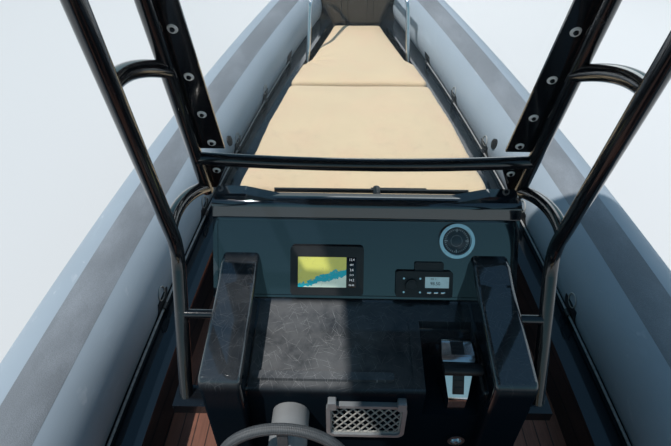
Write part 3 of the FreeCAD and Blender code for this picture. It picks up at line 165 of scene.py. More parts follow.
class BoatStage(bpy.types.PropertyGroup):
    camera_place: FloatVectorProperty(name="Camera", description="Where the camera stands", unit="LENGTH",
                                      subtype="TRANSLATION", default=(-0.106, -1.45, 2.30))
    camera_pitch: angle("Pitch", "How far the camera looks down", 38.307)
    camera_yaw: angle("Yaw", "How far the camera looks to starboard", -1.24)
    camera_roll: angle("Roll", "How far the camera leans", 0.059)
    focal_pixels: FloatProperty(name="Focal length", description="In pixels of the photo", default=500.0)
    floor_size: length("Floor", "Width of the floor", 120.0)
    sun_power: watts("Sun", "Watts for each square metre", 3.3)
    fill_power: watts("Fill lamp", "Watts", 80.0)
    back_power: watts("Back lamp", "Watts", 90.0)
    world_level: FloatProperty(name="World", description="Light from all round", default=0.66)


# Shader maths


class Tap:
    """A shader socket that sums can be written with."""

    def __init__(self, paint, socket):
        self.paint = paint
        self.socket = socket

    def maths(self, operation, *others):
        return self.paint.add("Math", {"operation": operation}, self, *others)

    def __add__(self, other):
        return self.maths("ADD", other)

    __radd__ = __add__

    def __sub__(self, other):
        return self.maths("SUBTRACT", other)

    def __rsub__(self, other):
        return self.paint.add("Math", {"operation": "SUBTRACT"}, other, self)

    def __mul__(self, other):
        return self.maths("MULTIPLY", other)

    def __gt__(self, other):
        return self.maths("GREATER_THAN", other)

    def between(self, low, high):
        """Rises smoothly from 0 at low to 1 at high."""
        return self.paint.add("MapRange", {"interpolation_type": "SMOOTHSTEP"}, self, low, high, 0.0, 1.0)

    def falls(self, low, high):
        """Falls smoothly from 1 at low to 0 at high."""
        return 1.0 - self.between(low, high)


class Paint:
    """One material in the making, with its principled shader."""

    def __init__(self, name):
        self.material = bpy.data.materials.new(name)
        self.material.use_nodes = True
        self.tree = self.material.node_tree
        self.shader = self.tree.nodes["Principled BSDF"]

    def feed(self, socket, value):
        if isinstance(value, Tap):
            self.tree.links.new(value.socket, socket)
        elif socket.type == "RGBA" and len(value) == 3:
            socket.default_value = (*value, 1.0)
        else:
            socket.default_value = value

    def add(self, kind, settings=None, *values, out=0, **named):
        """Any node, by its type, its settings, and the values or links of its sockets."""
        node = self.tree.nodes.new("ShaderNode" + kind)
        for key, value in (settings or {}).items():
            setattr(node, key, value)
        for i, value in enumerate(values):
            if value is not None:
                self.feed(node.inputs[i], value)
        for key, value in named.items():
            self.feed(node.inputs[key.replace("_", " ")], value)
        return Tap(self, node.outputs[out])

    def place(self, centre=(0, 0, 0), turn=(0, 0, 0), scale=(1, 1, 1)):
        """Object coordinates of a pattern that has its own middle, turn and density along its axes."""
        spot = self.add("TexCoord", out="Object")
        sizes = tuple(1.0 / s for s in scale)
        return self.add("Mapping", {"vector_type": "TEXTURE"}, spot, centre, turn, sizes)

    def axes(self, vector):
        node = self.tree.nodes.new("ShaderNodeSeparateXYZ")
        self.feed(node.inputs[0], vector)
        return [Tap(self, s) for s in node.outputs]

    def noise(self, vector, scale, detail=3.0, rough=0.5, wobble=0.0):
        named = {"Scale": scale, "Detail": detail, "Roughness": rough, "Distortion": wobble}
        return self.add("TexNoise", None, vector, **named)

    def streaks(self, scale, *values):
        """Noise that is drawn out along each axis where its scale is small."""
        return self.noise(self.place(scale=scale), *values)

    def cells(self, vector, scale, spread="3D"):
        return self.add("TexVoronoi", {"voronoi_dimensions": spread}, vector, Scale=scale)

    def mix(self, share, low, high):
        node = self.tree.nodes.new("ShaderNodeMix")
        node.data_type = "RGBA"
        for index, value in ((0, share), (6, low), (7, high)):
            self.feed(node.inputs[index], value)
        return Tap(self, node.outputs[2])

    def tones(self, share, rgb, low, high):
        """From a darker to a paler tone of one colour."""
        return self.mix(share, shade(rgb, low), shade(rgb, high))

    def bump(self, height, distance, strength=1.0, below=None):
        named = {"Height": height, "Distance": distance, "Strength": strength}
        if below is not None:
            named["Normal"] = below
        return self.add("Bump", None, **named)

    def finish(self, base, rough, normal=None, **sockets):
        """Feeds the principled shader, with underscores for the spaces of its sockets' names."""
        sockets.update({"Base Color": base, "Roughness": rough})
        if normal is not None:
            sockets["Normal"] = normal
        for key, value in sockets.items():
            self.feed(self.shader.inputs[key.replace("_", " ")], value)
        return self.material


def begin(name):
    """A new material, with the coordinates of the piece that it goes on."""
    paint = Paint(name)
    return paint, paint.place()


def shade(rgb, factor):
    return tuple(min(1.0, c * factor) for c in rgb)


def tube_cloth(colours):
    """Coated fabric: a fine weave under the coat, cloudy tone and a few pale scuffs."""
    paint, spot = begin("tube_cloth")
    clouds = paint.noise(spot, 1.3, 4.0, 0.6)
    smudge = paint.streaks((1.0, 0.25, 1.0), 5.0, 5.0, 0.65, 0.6)
    scuffs = paint.noise(paint.place(turn=(0.3, 0.0, 0.7), scale=(1.0, 0.12, 1.0)), 21.0, 2.0)
    scuff_mask = scuffs.between(0.66, 0.72) * smudge.between(0.5, 0.62)
    base = paint.tones(clouds, colours.tube, 0.86, 1.16)
    base = paint.mix(smudge.between(0.55, 0.8) * 0.35, base, shade(colours.tube, 1.6))
    base = paint.mix(scuff_mask * 0.5, base, (0.55, 0.58, 0.62))
    weave = paint.cells(spot, 520.0)
    creases = paint.streaks((1.0, 0.35, 1.0), 9.0)
    normal = paint.bump(weave, 0.00035, 0.35)
    normal = paint.bump(creases, 0.0025, 0.35, normal)
    return paint.finish(base, 0.46 + smudge * 0.18, normal, Specular_IOR_Level=0.28, Sheen_Weight=0.05,
                        Sheen_Roughness=0.5)


def wear_strip_rubber(colours):
    """Warm grey strip with a fine grained face, greyer where it is worn."""
    paint, spot = begin("wear_strip_rubber")
    grain = paint.cells(spot, 300.0)
    worn = paint.streaks((1.0, 0.4, 1.0), 6.0, 5.0, 0.65)
    base = paint.tones(worn.between(0.35, 0.75), colours.strip, 0.88, 1.28)
    base = paint.mix(grain.between(0.1, 0.7) * 0.35, base, shade(colours.strip, 0.55))
    normal = paint.bump(grain, 0.0009, 0.8)
    return paint.finish(base, 0.68 + worn * 0.2, normal)


def moulded_rubber(colours):
    """The rub strake: dull rubber with fine lengthwise ribs and chalky wear."""
    paint = Paint("moulded_rubber")
    z = paint.axes(paint.place())[2]
    ribs = (z * 420.0).maths("SINE")
    worn = paint.streaks((1.0, 0.3, 1.0), 7.0, 5.0, 0.6)
    base = paint.mix(worn.between(0.45, 0.8), colours.strake, shade(colours.strake, 2.2))
    normal = paint.bump(ribs, 0.0008, 0.6)
    return paint.finish(base, 0.62 + worn * 0.2, normal)


def scratches(paint, turns, density=170.0, width=0.055):
    """Short straight scratches seen from above, some along each of the turns, as a mask."""
    mask = None
    for turn in turns:
        spot = paint.place(centre=(turn, turn / 2, 0), turn=(0, 0, turn), scale=(1.0, 0.012, 1.0))
        near = paint.cells(spot, density, "2D")
        thin = near.falls(width * 0.35, width)
        mask = thin if mask is None else mask.maths("MAXIMUM", thin)
    return mask


def black_gelcoat(colours, name="black_gelcoat", low_coat=0.35, level=0.25):
    """Glossy black moulding with dust, and with hairline scratches and chafing where things are laid down; on
    the shelf these fade toward starboard as painted shade.
    """
    paint, spot = begin(name)
    x, y, z = paint.axes(spot)
    # The console's shelf and the tops of its side wings, where things are laid down
    side = (x - CONSOLE_X).maths("ABSOLUTE")
    shelf = z.between(0.985, 1.0) * z.falls(1.060, 1.075) * y.falls(-0.31, -0.285)
    shelf = shelf * y.between(-0.61, -0.585) * side.falls(0.345, 0.352)
    wings = side.between(0.350, 0.356) * z.between(1.05, 1.09) * y.falls(-0.24, -0.20)
    # Painted shade: on the shelf the chafe, scratches and pits fade toward starboard, so that part is darker,
    # as if in shadow; the wear itself is real.
    worn = shelf * (1.0 - x.between(-0.16, 0.10) * 0.6) + wings * 0.25
    chafed = paint.noise(spot, 9.0, 6.0, 0.68).between(0.12, 0.66) * worn
    marks = scratches(paint, (0.35, 0.8, 1.25, 1.75, 2.2, 2.7)) * worn
    pits = paint.noise(spot, 330.0, 2.0).between(0.66, 0.74) * worn
    dust = paint.noise(spot, 260.0, 2.0).between(0.64, 0.78)
    dust = dust * paint.noise(spot, 3.0).between(0.45, 0.7)
    haze = paint.noise(spot, 2.2, 5.0, 0.6)
    base = paint.mix(chafed * 0.80, colours.gelcoat, (0.150, 0.153, 0.160))
    base = paint.mix((marks * 0.75).maths("MINIMUM", 0.75), base, (0.42, 0.42, 0.43))
    base = paint.mix(pits * 0.16, base, (0.30, 0.30, 0.31))
    base = paint.mix(dust * 0.06, base, (0.20, 0.20, 0.20))
    rough = 0.08 + haze.between(0.35, 0.8) * 0.07 + chafed * 0.34 + marks * 0.2
    # The aft faces mirror the sole, so the coat is thin there
    outer = side.between(0.345, 0.352)
    aft = y.falls(-0.603, -0.596) * (1.0 - outer) + y.falls(-0.648, -0.640) * outer
    coat = (low_coat + z.between(0.95, 1.02) * (1.0 - low_coat)) * (1.0 - chafed * 0.6) * (1.0 - shelf * 0.6)
    coat = coat * (1.0 - aft * 0.92)
    normal = paint.bump(paint.noise(spot, 11.0, 2.0), 0.0010, 0.22)
    normal = paint.bump(marks, 0.0002, 0.4, normal)
    return paint.finish(base, rough, normal, Specular_IOR_Level=level, Coat_Weight=coat, Coat_IOR=2.0,
                        Coat_Roughness=0.04)


def hull_gelcoat(colours):
    """The hull: dark grey gelcoat with soft stains near the waterline and hairline scratches."""
    paint, spot = begin("hull_gelcoat")
    z = paint.axes(spot)[2]
    stain = paint.streaks((0.6, 0.6, 2.5), 5.0, 5.0, 0.6).between(0.4, 0.75)
    low = z.falls(-0.05, 0.16)
    base = paint.mix(stain * low * 0.6, colours.hull, (0.16, 0.17, 0.14))
    scuffs = paint.streaks((1.0, 0.05, 0.6), 60.0, 3.0, 0.6).between(0.66, 0.72)
    base = paint.mix(scuffs * 0.18, base, (0.25, 0.26, 0.28))
    normal = paint.bump(paint.noise(spot, 14.0, 2.0), 0.001, 0.2)
    return paint.finish(base, 0.14 + stain * 0.22, normal, Coat_Weight=0.4, Coat_Roughness=0.08)


def sole_planks(colours):
    """Planks along the boat with dark caulking, grain, and a little fading."""
    paint, spot = begin("sole_planks")
    x = paint.axes(spot)[0]
    plank_width = 0.058
    across = (x + 4.0).maths("DIVIDE", plank_width)
    index = across.maths("FLOOR")
    place_in = across - index
    seam = place_in.falls(0.0, 0.07) + place_in.between(0.93, 1.0)
    tone = (index * 12.9898).maths("SINE") * 0.5 + 0.5
    grain = paint.streaks((1.0, 0.045, 1.0), 190.0, 4.0, 0.6)
    fade = paint.noise(spot, 2.5, 4.0, 0.6)
    base = paint.tones(tone * 0.55, colours.planks, 0.78, 1.35)
    base = paint.mix(grain.between(0.35, 0.7) * 0.55, base, shade(colours.planks, 0.45))
    base = paint.mix(fade.between(0.45, 0.8) * 0.35, base, shade(colours.planks, 2.2))
    base = paint.mix(seam, base, (0.010, 0.009, 0.009))
    normal = paint.bump(grain, 0.0006, 0.4)
    normal = paint.bump(1.0 - seam, 0.0012, 0.8, normal)
    return paint.finish(base, 0.48 + grain * 0.2 - seam * 0.05, normal)


def pad_cloth(colours, name="pad_cloth"):
    """Sand coloured coated cloth: fine cross weave, soft blotches and small creases."""
    paint, spot = begin(name)
    x, y = paint.axes(spot)[:2]
    threads = (x * 4200.0).maths("SINE") * (y * 4200.0).maths("SINE")
    blotch = paint.noise(spot, 2.2, 4.0, 0.55)
    warm = paint.noise(paint.place(centre=(3, 1, 0)), 4.0)
    soil = paint.noise(spot, 11.0, 6.0, 0.7).between(0.56, 0.82)
    base = paint.tones(blotch, colours.pad, 0.90, 1.07)
    base = paint.mix(warm.between(0.4, 0.75) * 0.3, base, (0.78, 0.50, 0.34))
    base = paint.mix(soil * 0.16, base, (0.36, 0.27, 0.18))
    base = paint.mix((threads * 0.5 + 0.5) * 0.08, base, shade(colours.pad, 0.6))
    creases = paint.streaks((1.0, 1.6, 1.0), 13.0, 4.0, 0.55, 0.5)
    normal = paint.bump(threads, 0.00018, 0.5)
    normal = paint.bump(creases, 0.0035, 0.28, normal)
    return paint.finish(base, 0.66 + blotch * 0.12, normal, Sheen_Weight=0.15, Sheen_Roughness=0.45)


def frame_paint(colours, name="frame_paint"):
    """Gloss black paint over tube, with slight ripple, dust and rubbed places."""
    paint, spot = begin(name)
    dust = paint.noise(spot, 180.0, 2.0, 0.6).between(0.66, 0.8)
    rub = paint.noise(spot, 11.0, 5.0, 0.65).between(0.56, 0.74)
    base = paint.mix(rub * 0.30, colours.paint, (0.030, 0.031, 0.034))
    base = paint.mix(dust * 0.25, base, (0.16, 0.16, 0.17))
    normal = paint.bump(paint.noise(spot, 95.0, 2.0), 0.0003, 0.22)
    return paint.finish(base, 0.13 + rub * 0.2, normal, Coat_Weight=0.5, Coat_Roughness=0.06)


def bright_steel(colours):
    """Polished stainless steel with faint polishing lines and water spots."""
    paint, spot = begin("bright_steel")
    lines = paint.streaks((1.0, 1.0, 0.05), 240.0, 2.0)
    spots = paint.cells(spot, 160.0).between(0.02, 0.12)
    base = paint.mix(lines * 0.5, colours.steel, shade(colours.steel, 1.2))
    rough = 0.12 + lines * 0.10 + (1.0 - spots) * 0.18
    return paint.finish(base, rough, paint.bump(lines, 0.0001, 0.3), Metallic=1.0)


def black_plastic(colours):
    """Satin moulded plastic with a fine spark grain."""
    paint, spot = begin("black_plastic")
    grain = paint.cells(spot, 900.0)
    haze = paint.noise(spot, 12.0, 4.0, 0.6)
    base = paint.mix(haze.between(0.4, 0.8) * 0.5, colours.plastic, shade(colours.plastic, 2.4))
    return paint.finish(base, 0.34 + haze * 0.2, paint.bump(grain, 0.00012, 0.5))


def rope_cloth(colours):
    """Fibres on the twisted line, with dirt in the lay."""
    paint, spot = begin("rope_cloth")
    fibre = paint.streaks((1.0, 0.2, 1.0), 1400.0, 2.0)
    soil = paint.noise(spot, 60.0, 4.0, 0.6)
    base = paint.mix(soil.between(0.4, 0.7), colours.rope, shade(colours.rope, 0.45))
    base = paint.mix(fibre * 0.4, base, shade(colours.rope, 1.5))
    return paint.finish(base, 0.85, paint.bump(fibre, 0.0002, 0.6))


def clear_panel():
    """Clear acrylic with a little haze and salt along its foot."""
    paint, spot = begin("clear_panel")
    z = paint.axes(spot)[2]
    salt = paint.noise(spot, 30.0, 5.0, 0.65).between(0.5, 0.8) * z.falls(1.36, 1.9)
    return paint.finish((0.85, 0.92, 0.93), 0.04, Alpha=0.035 + salt * 0.05, Specular_IOR_Level=0.5)


def wheel_grip(colours):
    """The wheel's grip: a knurled grey sleeve."""
    paint = Paint("wheel_grip")
    low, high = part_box("steering_wheel")
    middle = (low + high) / 2
    spot = paint.place(centre=tuple(middle))
    x, y, z = paint.axes(paint.place(centre=tuple(middle), turn=(radians(85.0), 0, 0)))
    around = y.maths("ARCTAN2", x) * 130.0
    across = ((x * x + y * y).maths("SQRT") + z) * 560.0
    knurl = (around + across).maths("SINE") * (around - across).maths("SINE")
    worn = paint.noise(spot, 18.0, 4.0, 0.6)
    base = paint.tones(knurl * 0.5 + 0.5, colours.grip, 0.55, 1.35)
    base = paint.mix(worn.between(0.5, 0.8) * 0.4, base, shade(colours.grip, 1.8))
    return paint.finish(base, 0.42 + worn * 0.2, paint.bump(knurl, 0.0008, 0.8))


def satin_grey(name, rgb, metallic=0.0, rough=0.38):
    """A plain satin finish with slight cloudiness and grain."""
    paint, spot = begin(name)
    haze = paint.noise(spot, 14.0, 5.0, 0.6)
    grain = paint.cells(spot, 700.0)
    base = paint.tones(haze, rgb, 0.8, 1.2)
    return paint.finish(base, rough + haze * 0.14, paint.bump(grain, 0.0001, 0.4), Metallic=metallic)


def glass_dome():
    paint = Paint("glass_dome")
    haze = paint.noise(paint.place(), 40.0)
    return paint.finish((0.10, 0.16, 0.20), 0.03 + haze * 0.04, Alpha=0.22 + haze * 0.06, Coat_Weight=1.0,
                        Coat_Roughness=0.02)


def flat_on_panel(paint, across, up):
    """Coordinates that lie flat on the dash panel, with a place on it as their middle."""
    return paint.place(centre=tuple(on_panel(across, up).translation), turn=(PANEL_RISE, 0, 0))


def compass_card(across, up):
    """A dark card with a ring of pale marks every ten degrees and longer ones at the quarters."""
    paint = Paint("compass_card")
    u, v = paint.axes(flat_on_panel(paint, across, up))[:2]
    reach = (u * u + v * v).maths("SQRT")
    turn = v.maths("ARCTAN2", u)
    inside = reach.falls(0.0400, 0.0405)
    tens = ((turn * 36.0).maths("COSINE") > 0.72) * reach.between(0.0335, 0.0340) * inside
    quarters = ((turn * 4.0).maths("COSINE") > 0.985) * reach.between(0.0290, 0.0295) * inside
    ring = reach.between(0.0180, 0.0183) * reach.falls(0.0186, 0.0189)
    marks = (tens + quarters + ring).maths("MINIMUM", 1.0)
    base = paint.mix(marks, (0.012, 0.020, 0.030), (0.80, 0.82, 0.82))
    return paint.finish(base, 0.4)


def chart_picture(across, up):
    """A made-up chart: land at the upper left, a band of shallows and pale open water."""
    paint = Paint("chart_picture")
    place = flat_on_panel(paint, across, up)
    u, v = paint.axes(place)[:2]
    shore = (paint.noise(place, 30.0, 5.0, 0.62) - 0.5) * 0.052
    bed = (paint.noise(paint.place(centre=(1, 2, 3)), 36.0, 4.0, 0.6) - 0.5) * 0.040
    depth = paint.noise(place, 75.0)
    coast = v + 0.012 - u * 0.38 + shore
    band = v + 0.033 - u * 0.30 + bed
    base = paint.mix(band.between(0.0, 0.0006), (0.60, 0.72, 0.62), (0.012, 0.36, 0.45))
    base = paint.mix(coast.between(0.0, 0.0006), base, (0.56, 0.55, 0.12))
    roads = 1.0 - (paint.noise(place, 22.0, 2.0) - 0.5).maths("ABSOLUTE").between(0.002, 0.004)
    base = paint.mix(roads * 0.35, base, (0.30, 0.28, 0.10))
    base = paint.mix(depth.between(0.62, 0.63) * 0.2, base, (0.40, 0.46, 0.26))
    return paint.finish(base, 0.12, Emission_Color=base, Emission_Strength=0.30, Coat_Weight=0.6)


def pale_cord(name):
    """Pale cord of the net, greyer in places."""
    paint, spot = begin(name)
    twist = paint.noise(spot, 900.0, 2.0)
    soil = paint.noise(spot, 30.0, 4.0, 0.6)
    base = paint.mix(soil, (0.22, 0.22, 0.21), (0.62, 0.61, 0.58))
    return paint.finish(base, 0.5 + twist * 0.2, paint.bump(twist, 0.0003, 0.6))


def lit_display(name, rgb, strength=0.5):
    paint = Paint(name)
    haze = paint.noise(paint.place(), 60.0)
    base = paint.tones(haze, rgb, 0.8, 1.1)
    return paint.finish(base, 0.2, Emission_Color=base, Emission_Strength=strength)


def floor_pale(level):
    """The floor's plain pale paint."""
    paint = Paint("floor_pale")
    mottle = paint.noise(paint.place(), 0.2, 2.0)
    base = paint.mix(mottle, (level, level, level * 1.01), (level * 0.98, level * 0.985, level))
    return paint.finish(base, 0.9)


# Mesh helpers


def give(owner, **values):
    """Sets several of the owner's attributes."""
    for key, value in values.items():
        setattr(owner, key, value)
    return owner


def modify(piece, kind, **values):
    return give(piece.modifiers.new(kind.lower(), kind), **values)


def show(name, data):
    """A new object in the scene."""
    piece = bpy.data.objects.new(name, data)
    bpy.context.scene.collection.objects.link(piece)
    return piece


def as_mesh(name, bm):
    mesh = bpy.data.meshes.new(name)
    bm.to_mesh(mesh)
    bm.free()
    return mesh


def worked(piece):
    """A mesh of what an object shows, with its modifiers or its curve worked in."""
    bpy.context.view_layer.update()
    graph = bpy.context.evaluated_depsgraph_get()
    return bpy.data.meshes.new_from_object(piece.evaluated_get(graph))


def make_piece(name, bm, material, outward=True):
    """A finished bmesh as a piece of the boat."""
    if outward:
        bmesh.ops.recalc_face_normals(bm, faces=bm.faces)
    return settle(name, as_mesh(name, bm), material)


def paint_over(piece, material):
    piece.data.materials.clear()
    piece.data.materials.append(material)


def settle(name, mesh, material, body="boat", replaces=(), sharp=35.0):
    mesh.shade_smooth()
    if sharp:
        mesh.set_sharp_from_angle(angle=radians(sharp))
    piece = show(name, mesh)
    paint_over(piece, material)
    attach(piece, body)
    if replaces:
        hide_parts(*replaces)
    return piece


def apply_modifiers(piece):
    mesh = worked(piece)
    piece.modifiers.clear()
    piece.data = mesh


def finish_nodes(material, *nodes, edge=0.0):
    """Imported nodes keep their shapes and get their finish, with their edges eased if edge is given."""
    for node in nodes:
        paint_over(NODES[node], material)
        if edge:
            ease_edges(NODES[node], edge)


def ease_edges(piece, edge):
    modify(piece, "WELD", merge_threshold=0.00005)
    modify(piece, "BEVEL", width=edge, segments=3, limit_method="ANGLE", angle_limit=radians(32),
           harden_normals=True)


def disc(bm, radius, depth, matrix, segments=32, top=None):
    """A closed cylinder or cone standing on its place, along its own +Z."""
    lift = Matrix.Translation((0, 0, depth / 2))
    made = bmesh.ops.create_cone(bm, cap_ends=True, cap_tris=False, segments=segments, radius1=radius,
                                 radius2=radius if top is None else top, depth=depth, matrix=matrix @ lift)
    return made["verts"]


def block(bm, size, matrix, ease=0.0):
    """A box by its full size, with eased edges."""
    made = bmesh.ops.create_cube(bm, size=1.0, matrix=matrix @ Matrix.Diagonal((*size, 1.0)))
    if ease:
        edges = {e for v in made["verts"] for e in v.link_edges}
        bmesh.ops.bevel(bm, geom=list(edges), offset=ease, offset_type="OFFSET", segments=2, profile=0.5,
                        affect="EDGES", material=-1)
    return made["verts"]


def mesh_of(name, data):
    """The mesh that a curve or a text makes."""
    holder = show(name, data)
    mesh = worked(holder)
    bpy.data.objects.remove(holder)
    return mesh


def tube_through(name, points, radius, material, closed=False, lobes=0, twist=0.0, smooth=True):
    """A round or lobed rod through points, made as a curve and kept as a mesh."""
    data = bpy.data.curves.new(name, "CURVE")
    data.dimensions = "3D"
    spline = data.splines.new("NURBS" if smooth else "POLY")
    spline.points.add(len(points) - 1)
    run = 0.0
    for i, (point, place) in enumerate(zip(spline.points, points)):
        if i:
            run += (Vector(place) - Vector(points[i - 1])).length
        point.co = (*place, 1.0)
        point.tilt = twist * run
    if smooth:
        give(spline, order_u=3, use_endpoint_u=not closed)
    spline.use_cyclic_u = closed
    profile = None
    if lobes:
        ring = bpy.data.curves.new(name + "_ring", "CURVE")
        ring.dimensions = "2D"
        loop = ring.splines.new("POLY")
        steps = lobes * 5
        loop.points.add(steps - 1)
        for i in range(steps):
            turn = 2 * pi * i / steps
            reach = radius * (0.86 + 0.14 * abs(cos(lobes * turn / 2)))
            loop.points[i].co = (reach * cos(turn), reach * sin(turn), 0, 1)
        loop.use_cyclic_u = True
        profile = bpy.data.objects.new(name + "_ring", ring)
        give(data, bevel_mode="OBJECT", bevel_object=profile)
    else:
        give(data, bevel_depth=radius, bevel_resolution=4)
    give(data, use_fill_caps=not closed, resolution_u=6)
    mesh = mesh_of(name, data)
    if profile:
        bpy.data.objects.remove(profile)
    return settle(name, mesh, material)


def words(name, text, size, matrix, material):
    """Plain figures or short words, as a thin mesh on a face."""
    data = bpy.data.curves.new(name, "FONT")
    give(data, body=text, size=size, align_x="CENTER", align_y="CENTER", extrude=0.0002)
    mesh = mesh_of(name, data)
    mesh.transform(matrix)
    return settle(name, mesh, material, sharp=0.0)


def band_on_tubes(radius, inboard, outboard, thickness):
    """A thin band round both tubes and the nose, between two angles from the top of the section."""
    bm = bmesh.new()
    start = TUBE_ROOT + Vector((sin(outboard), 0, cos(outboard))) * radius
    first = bmesh.ops.create_vert(bm, co=start)["vert"]
    bmesh.ops.spin(bm, geom=first, cent=TUBE_ROOT, axis=-Y_AXIS, angle=inboard + outboard, steps=10)
    chain = bm.edges[:]
    aft = bmesh.ops.extrude_edge_only(bm, edges=chain)
    aft_verts = [v for v in aft["geom"] if isinstance(v, bmesh.types.BMVert)]
    bmesh.ops.translate(bm, verts=aft_verts, vec=(0, TUBE_END_Y - TUBE_ROOT.y, 0))
    ends = list({v for e in chain for v in e.verts})
    side = bmesh.ops.spin(bm, geom=chain + ends, cent=SHEER_CENTRE, axis=SHEER_AXIS,
                          angle=radians(SHEER_TURN), steps=40)
    bmesh.ops.spin(bm, geom=side["geom_last"], cent=NOSE_CENTRE, axis=NOSE_AXIS, angle=radians(NOSE_TURN),
                   steps=24)
    bmesh.ops.mirror(bm, geom=bm.verts[:] + bm.edges[:] + bm.faces[:], axis="X", merge_dist=0.0005)
    bmesh.ops.remove_doubles(bm, verts=bm.verts, dist=0.0002)
    bmesh.ops.recalc_face_normals(bm, faces=bm.faces)
    bmesh.ops.solidify(bm, geom=bm.faces[:], thickness=thickness)
    return bm


# Cushions


def stuffed(name, node, voxel, material, sizes, body="boat", shape=None):
    """A cushion in its node's room: a smaller copy is remeshed, blown up as cloth, and smoothed."""
    swell = sizes.swell
    low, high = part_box(node)
    middle, size = (low + high) / 2, high - low
    bm = bmesh.new()
    bm.from_mesh(NODES[node].data)
    bmesh.ops.remove_doubles(bm, verts=bm.verts, dist=0.0001)
    shrink = [max(0.4, 1 - 1.5 * swell / s) for s in size]
    bmesh.ops.scale(bm, verts=bm.verts, vec=shrink, space=Matrix.Translation(-middle))
    bmesh.ops.translate(bm, verts=bm.verts, vec=(0, 0, -0.4 * swell))
    piece = settle(name, as_mesh(name, bm), material, body, replaces=(node,), sharp=0.0)
    modify(piece, "REMESH", mode="VOXEL", voxel_size=voxel)
    apply_modifiers(piece)
    blow_up(piece, sizes.pressure, swell)
    keep_in(piece, low, high)
    modify(piece, "SMOOTH", factor=0.5, iterations=4)
    modify(piece, "SUBSURF", levels=1, render_levels=1)
    apply_modifiers(piece)
    if shape:
        for vert in piece.data.vertices:
            vert.co = shape(vert.co)
    piece.data.shade_smooth()
    paint_over(piece, material)


def blow_up(piece, pressure, cap):
    """Cloth with air inside and no gravity, run for a few frames, with each point's travel capped."""
    scene = bpy.context.scene
    before = [v.co.copy() for v in piece.data.vertices]
    cloth = modify(piece, "CLOTH")
    give(cloth.settings, quality=4, mass=0.3, tension_stiffness=12.0, compression_stiffness=12.0,
         use_pressure=True, uniform_pressure_force=pressure)
    cloth.settings.effector_weights.gravity = 0.0
    give(cloth.point_cache, frame_start=1, frame_end=FILL_FRAMES)
    for step in range(1, FILL_FRAMES + 1):
        scene.frame_set(step)
    apply_modifiers(piece)
    scene.frame_set(1)
    for vert, start in zip(piece.data.vertices, before):
        travel = vert.co - start
        if travel.length > cap:
            vert.co = start + travel * (cap / travel.length)


def keep_in(piece, low, high):
    """Holds every point inside the room of the cushion's node."""
    for vert in piece.data.vertices:
        for i in range(3):
            vert.co[i] = min(max(vert.co[i], low[i] + 0.001), high[i] - 0.0005)


# Operators, one for each group of pieces


def settings(context):
    return context.scene.boat_colours, context.scene.boat_sizes


class BOAT_OT_tubes(bpy.types.Operator):
    """Finish the air tubes, their wear strip, rub strake and valves"""

    bl_idname = "boat.tubes"
    bl_label = "Air tubes"

    def execute(self, context):
        colours, sizes = settings(context)
        finish_nodes(tube_cloth(colours), "tube_starboard", "tube_port")
        inner, outer = sizes.strip_inner, sizes.strip_outer
        band = band_on_tubes(TUBE_RADIUS + STRIP_GAP, inner, outer, sizes.strip_thickness)
        make_piece("wear_strip", band, wear_strip_rubber(colours), outward=False)
        finish_nodes(moulded_rubber(colours), "rub_strake", edge=0.003)
        finish_nodes(black_plastic(colours), "air_valves", "line_holders")
        return {"FINISHED"}


class BOAT_OT_grab_lines(bpy.types.Operator):
    """Lay the twisted grab lines along the tubes"""

    bl_idname = "boat.grab_lines"
    bl_label = "Grab lines"

    line_angle = 21.0
    line_radius = TUBE_RADIUS + 0.014
    aft_y = -3.300
    end_turn = 13.2
    loop_turns = (2.3, 5.0, 7.7, 10.4)
    loop_radius = 0.034
    loop_points = 24
    cord_radius = 0.0032

    def execute(self, context):
        colours, sizes = settings(context)
        cloth, pale = rope_cloth(colours), pale_cord("loop_cord")
        root = section_point(self.line_radius, self.line_angle)
        step = sizes.rope_pitch / 4
        straight = int((TUBE_ROOT.y - self.aft_y) / step)
        points = [Vector((root.x, self.aft_y + i * step, root.z)) for i in range(straight)]
        turns = int(radians(self.end_turn) * SHEER_RADIUS / step)
        points += [along_tube(self.end_turn * i / turns) @ root for i in range(turns + 1)]
        for side, name in ((1, "starboard"), (-1, "port")):
            places = [(side * p.x, p.y, p.z) for p in points]
            line = tube_through("grab_line_" + name, places, sizes.rope_radius, cloth, lobes=3,
                                twist=side * 2 * pi / sizes.rope_pitch, smooth=False)
            if side == 1:
                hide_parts("grab_lines")
            for i, turn in enumerate(self.loop_turns):
                self.add_loop("tube_loop_%s_%d" % (name, i), side, turn, pale)
        return {"FINISHED"}

    def add_loop(self, name, side, turn, material):
        """A thin loop of cord that lies on the tube above a holder."""
        carry = along_tube(turn)
        places = []
        for i in range(self.loop_points):
            around = 2 * pi * i / self.loop_points
            down = degrees(self.loop_radius * sin(around) / TUBE_RADIUS)
            spot = section_point(TUBE_RADIUS + LOOP_GAP, down) + Y_AXIS * self.loop_radius * cos(around)
            spot = carry @ spot
            places.append((side * spot.x, spot.y, spot.z))
        tube_through(name, places, self.cord_radius, material, closed=True)


class BOAT_OT_hull(bpy.types.Operator):
    """Finish the hull, transom, platforms, coamings and sole"""

    bl_idname = "boat.hull"
    bl_label = "Hull and sole"

    def execute(self, context):
        colours = context.scene.boat_colours
        finish_nodes(hull_gelcoat(colours), "hull", "transom", "swim_platforms")
        finish_nodes(black_gelcoat(colours), "coaming_starboard", "coaming_port", "sunpad_base")
        finish_nodes(sole_planks(colours), "sole")
        return {"FINISHED"}


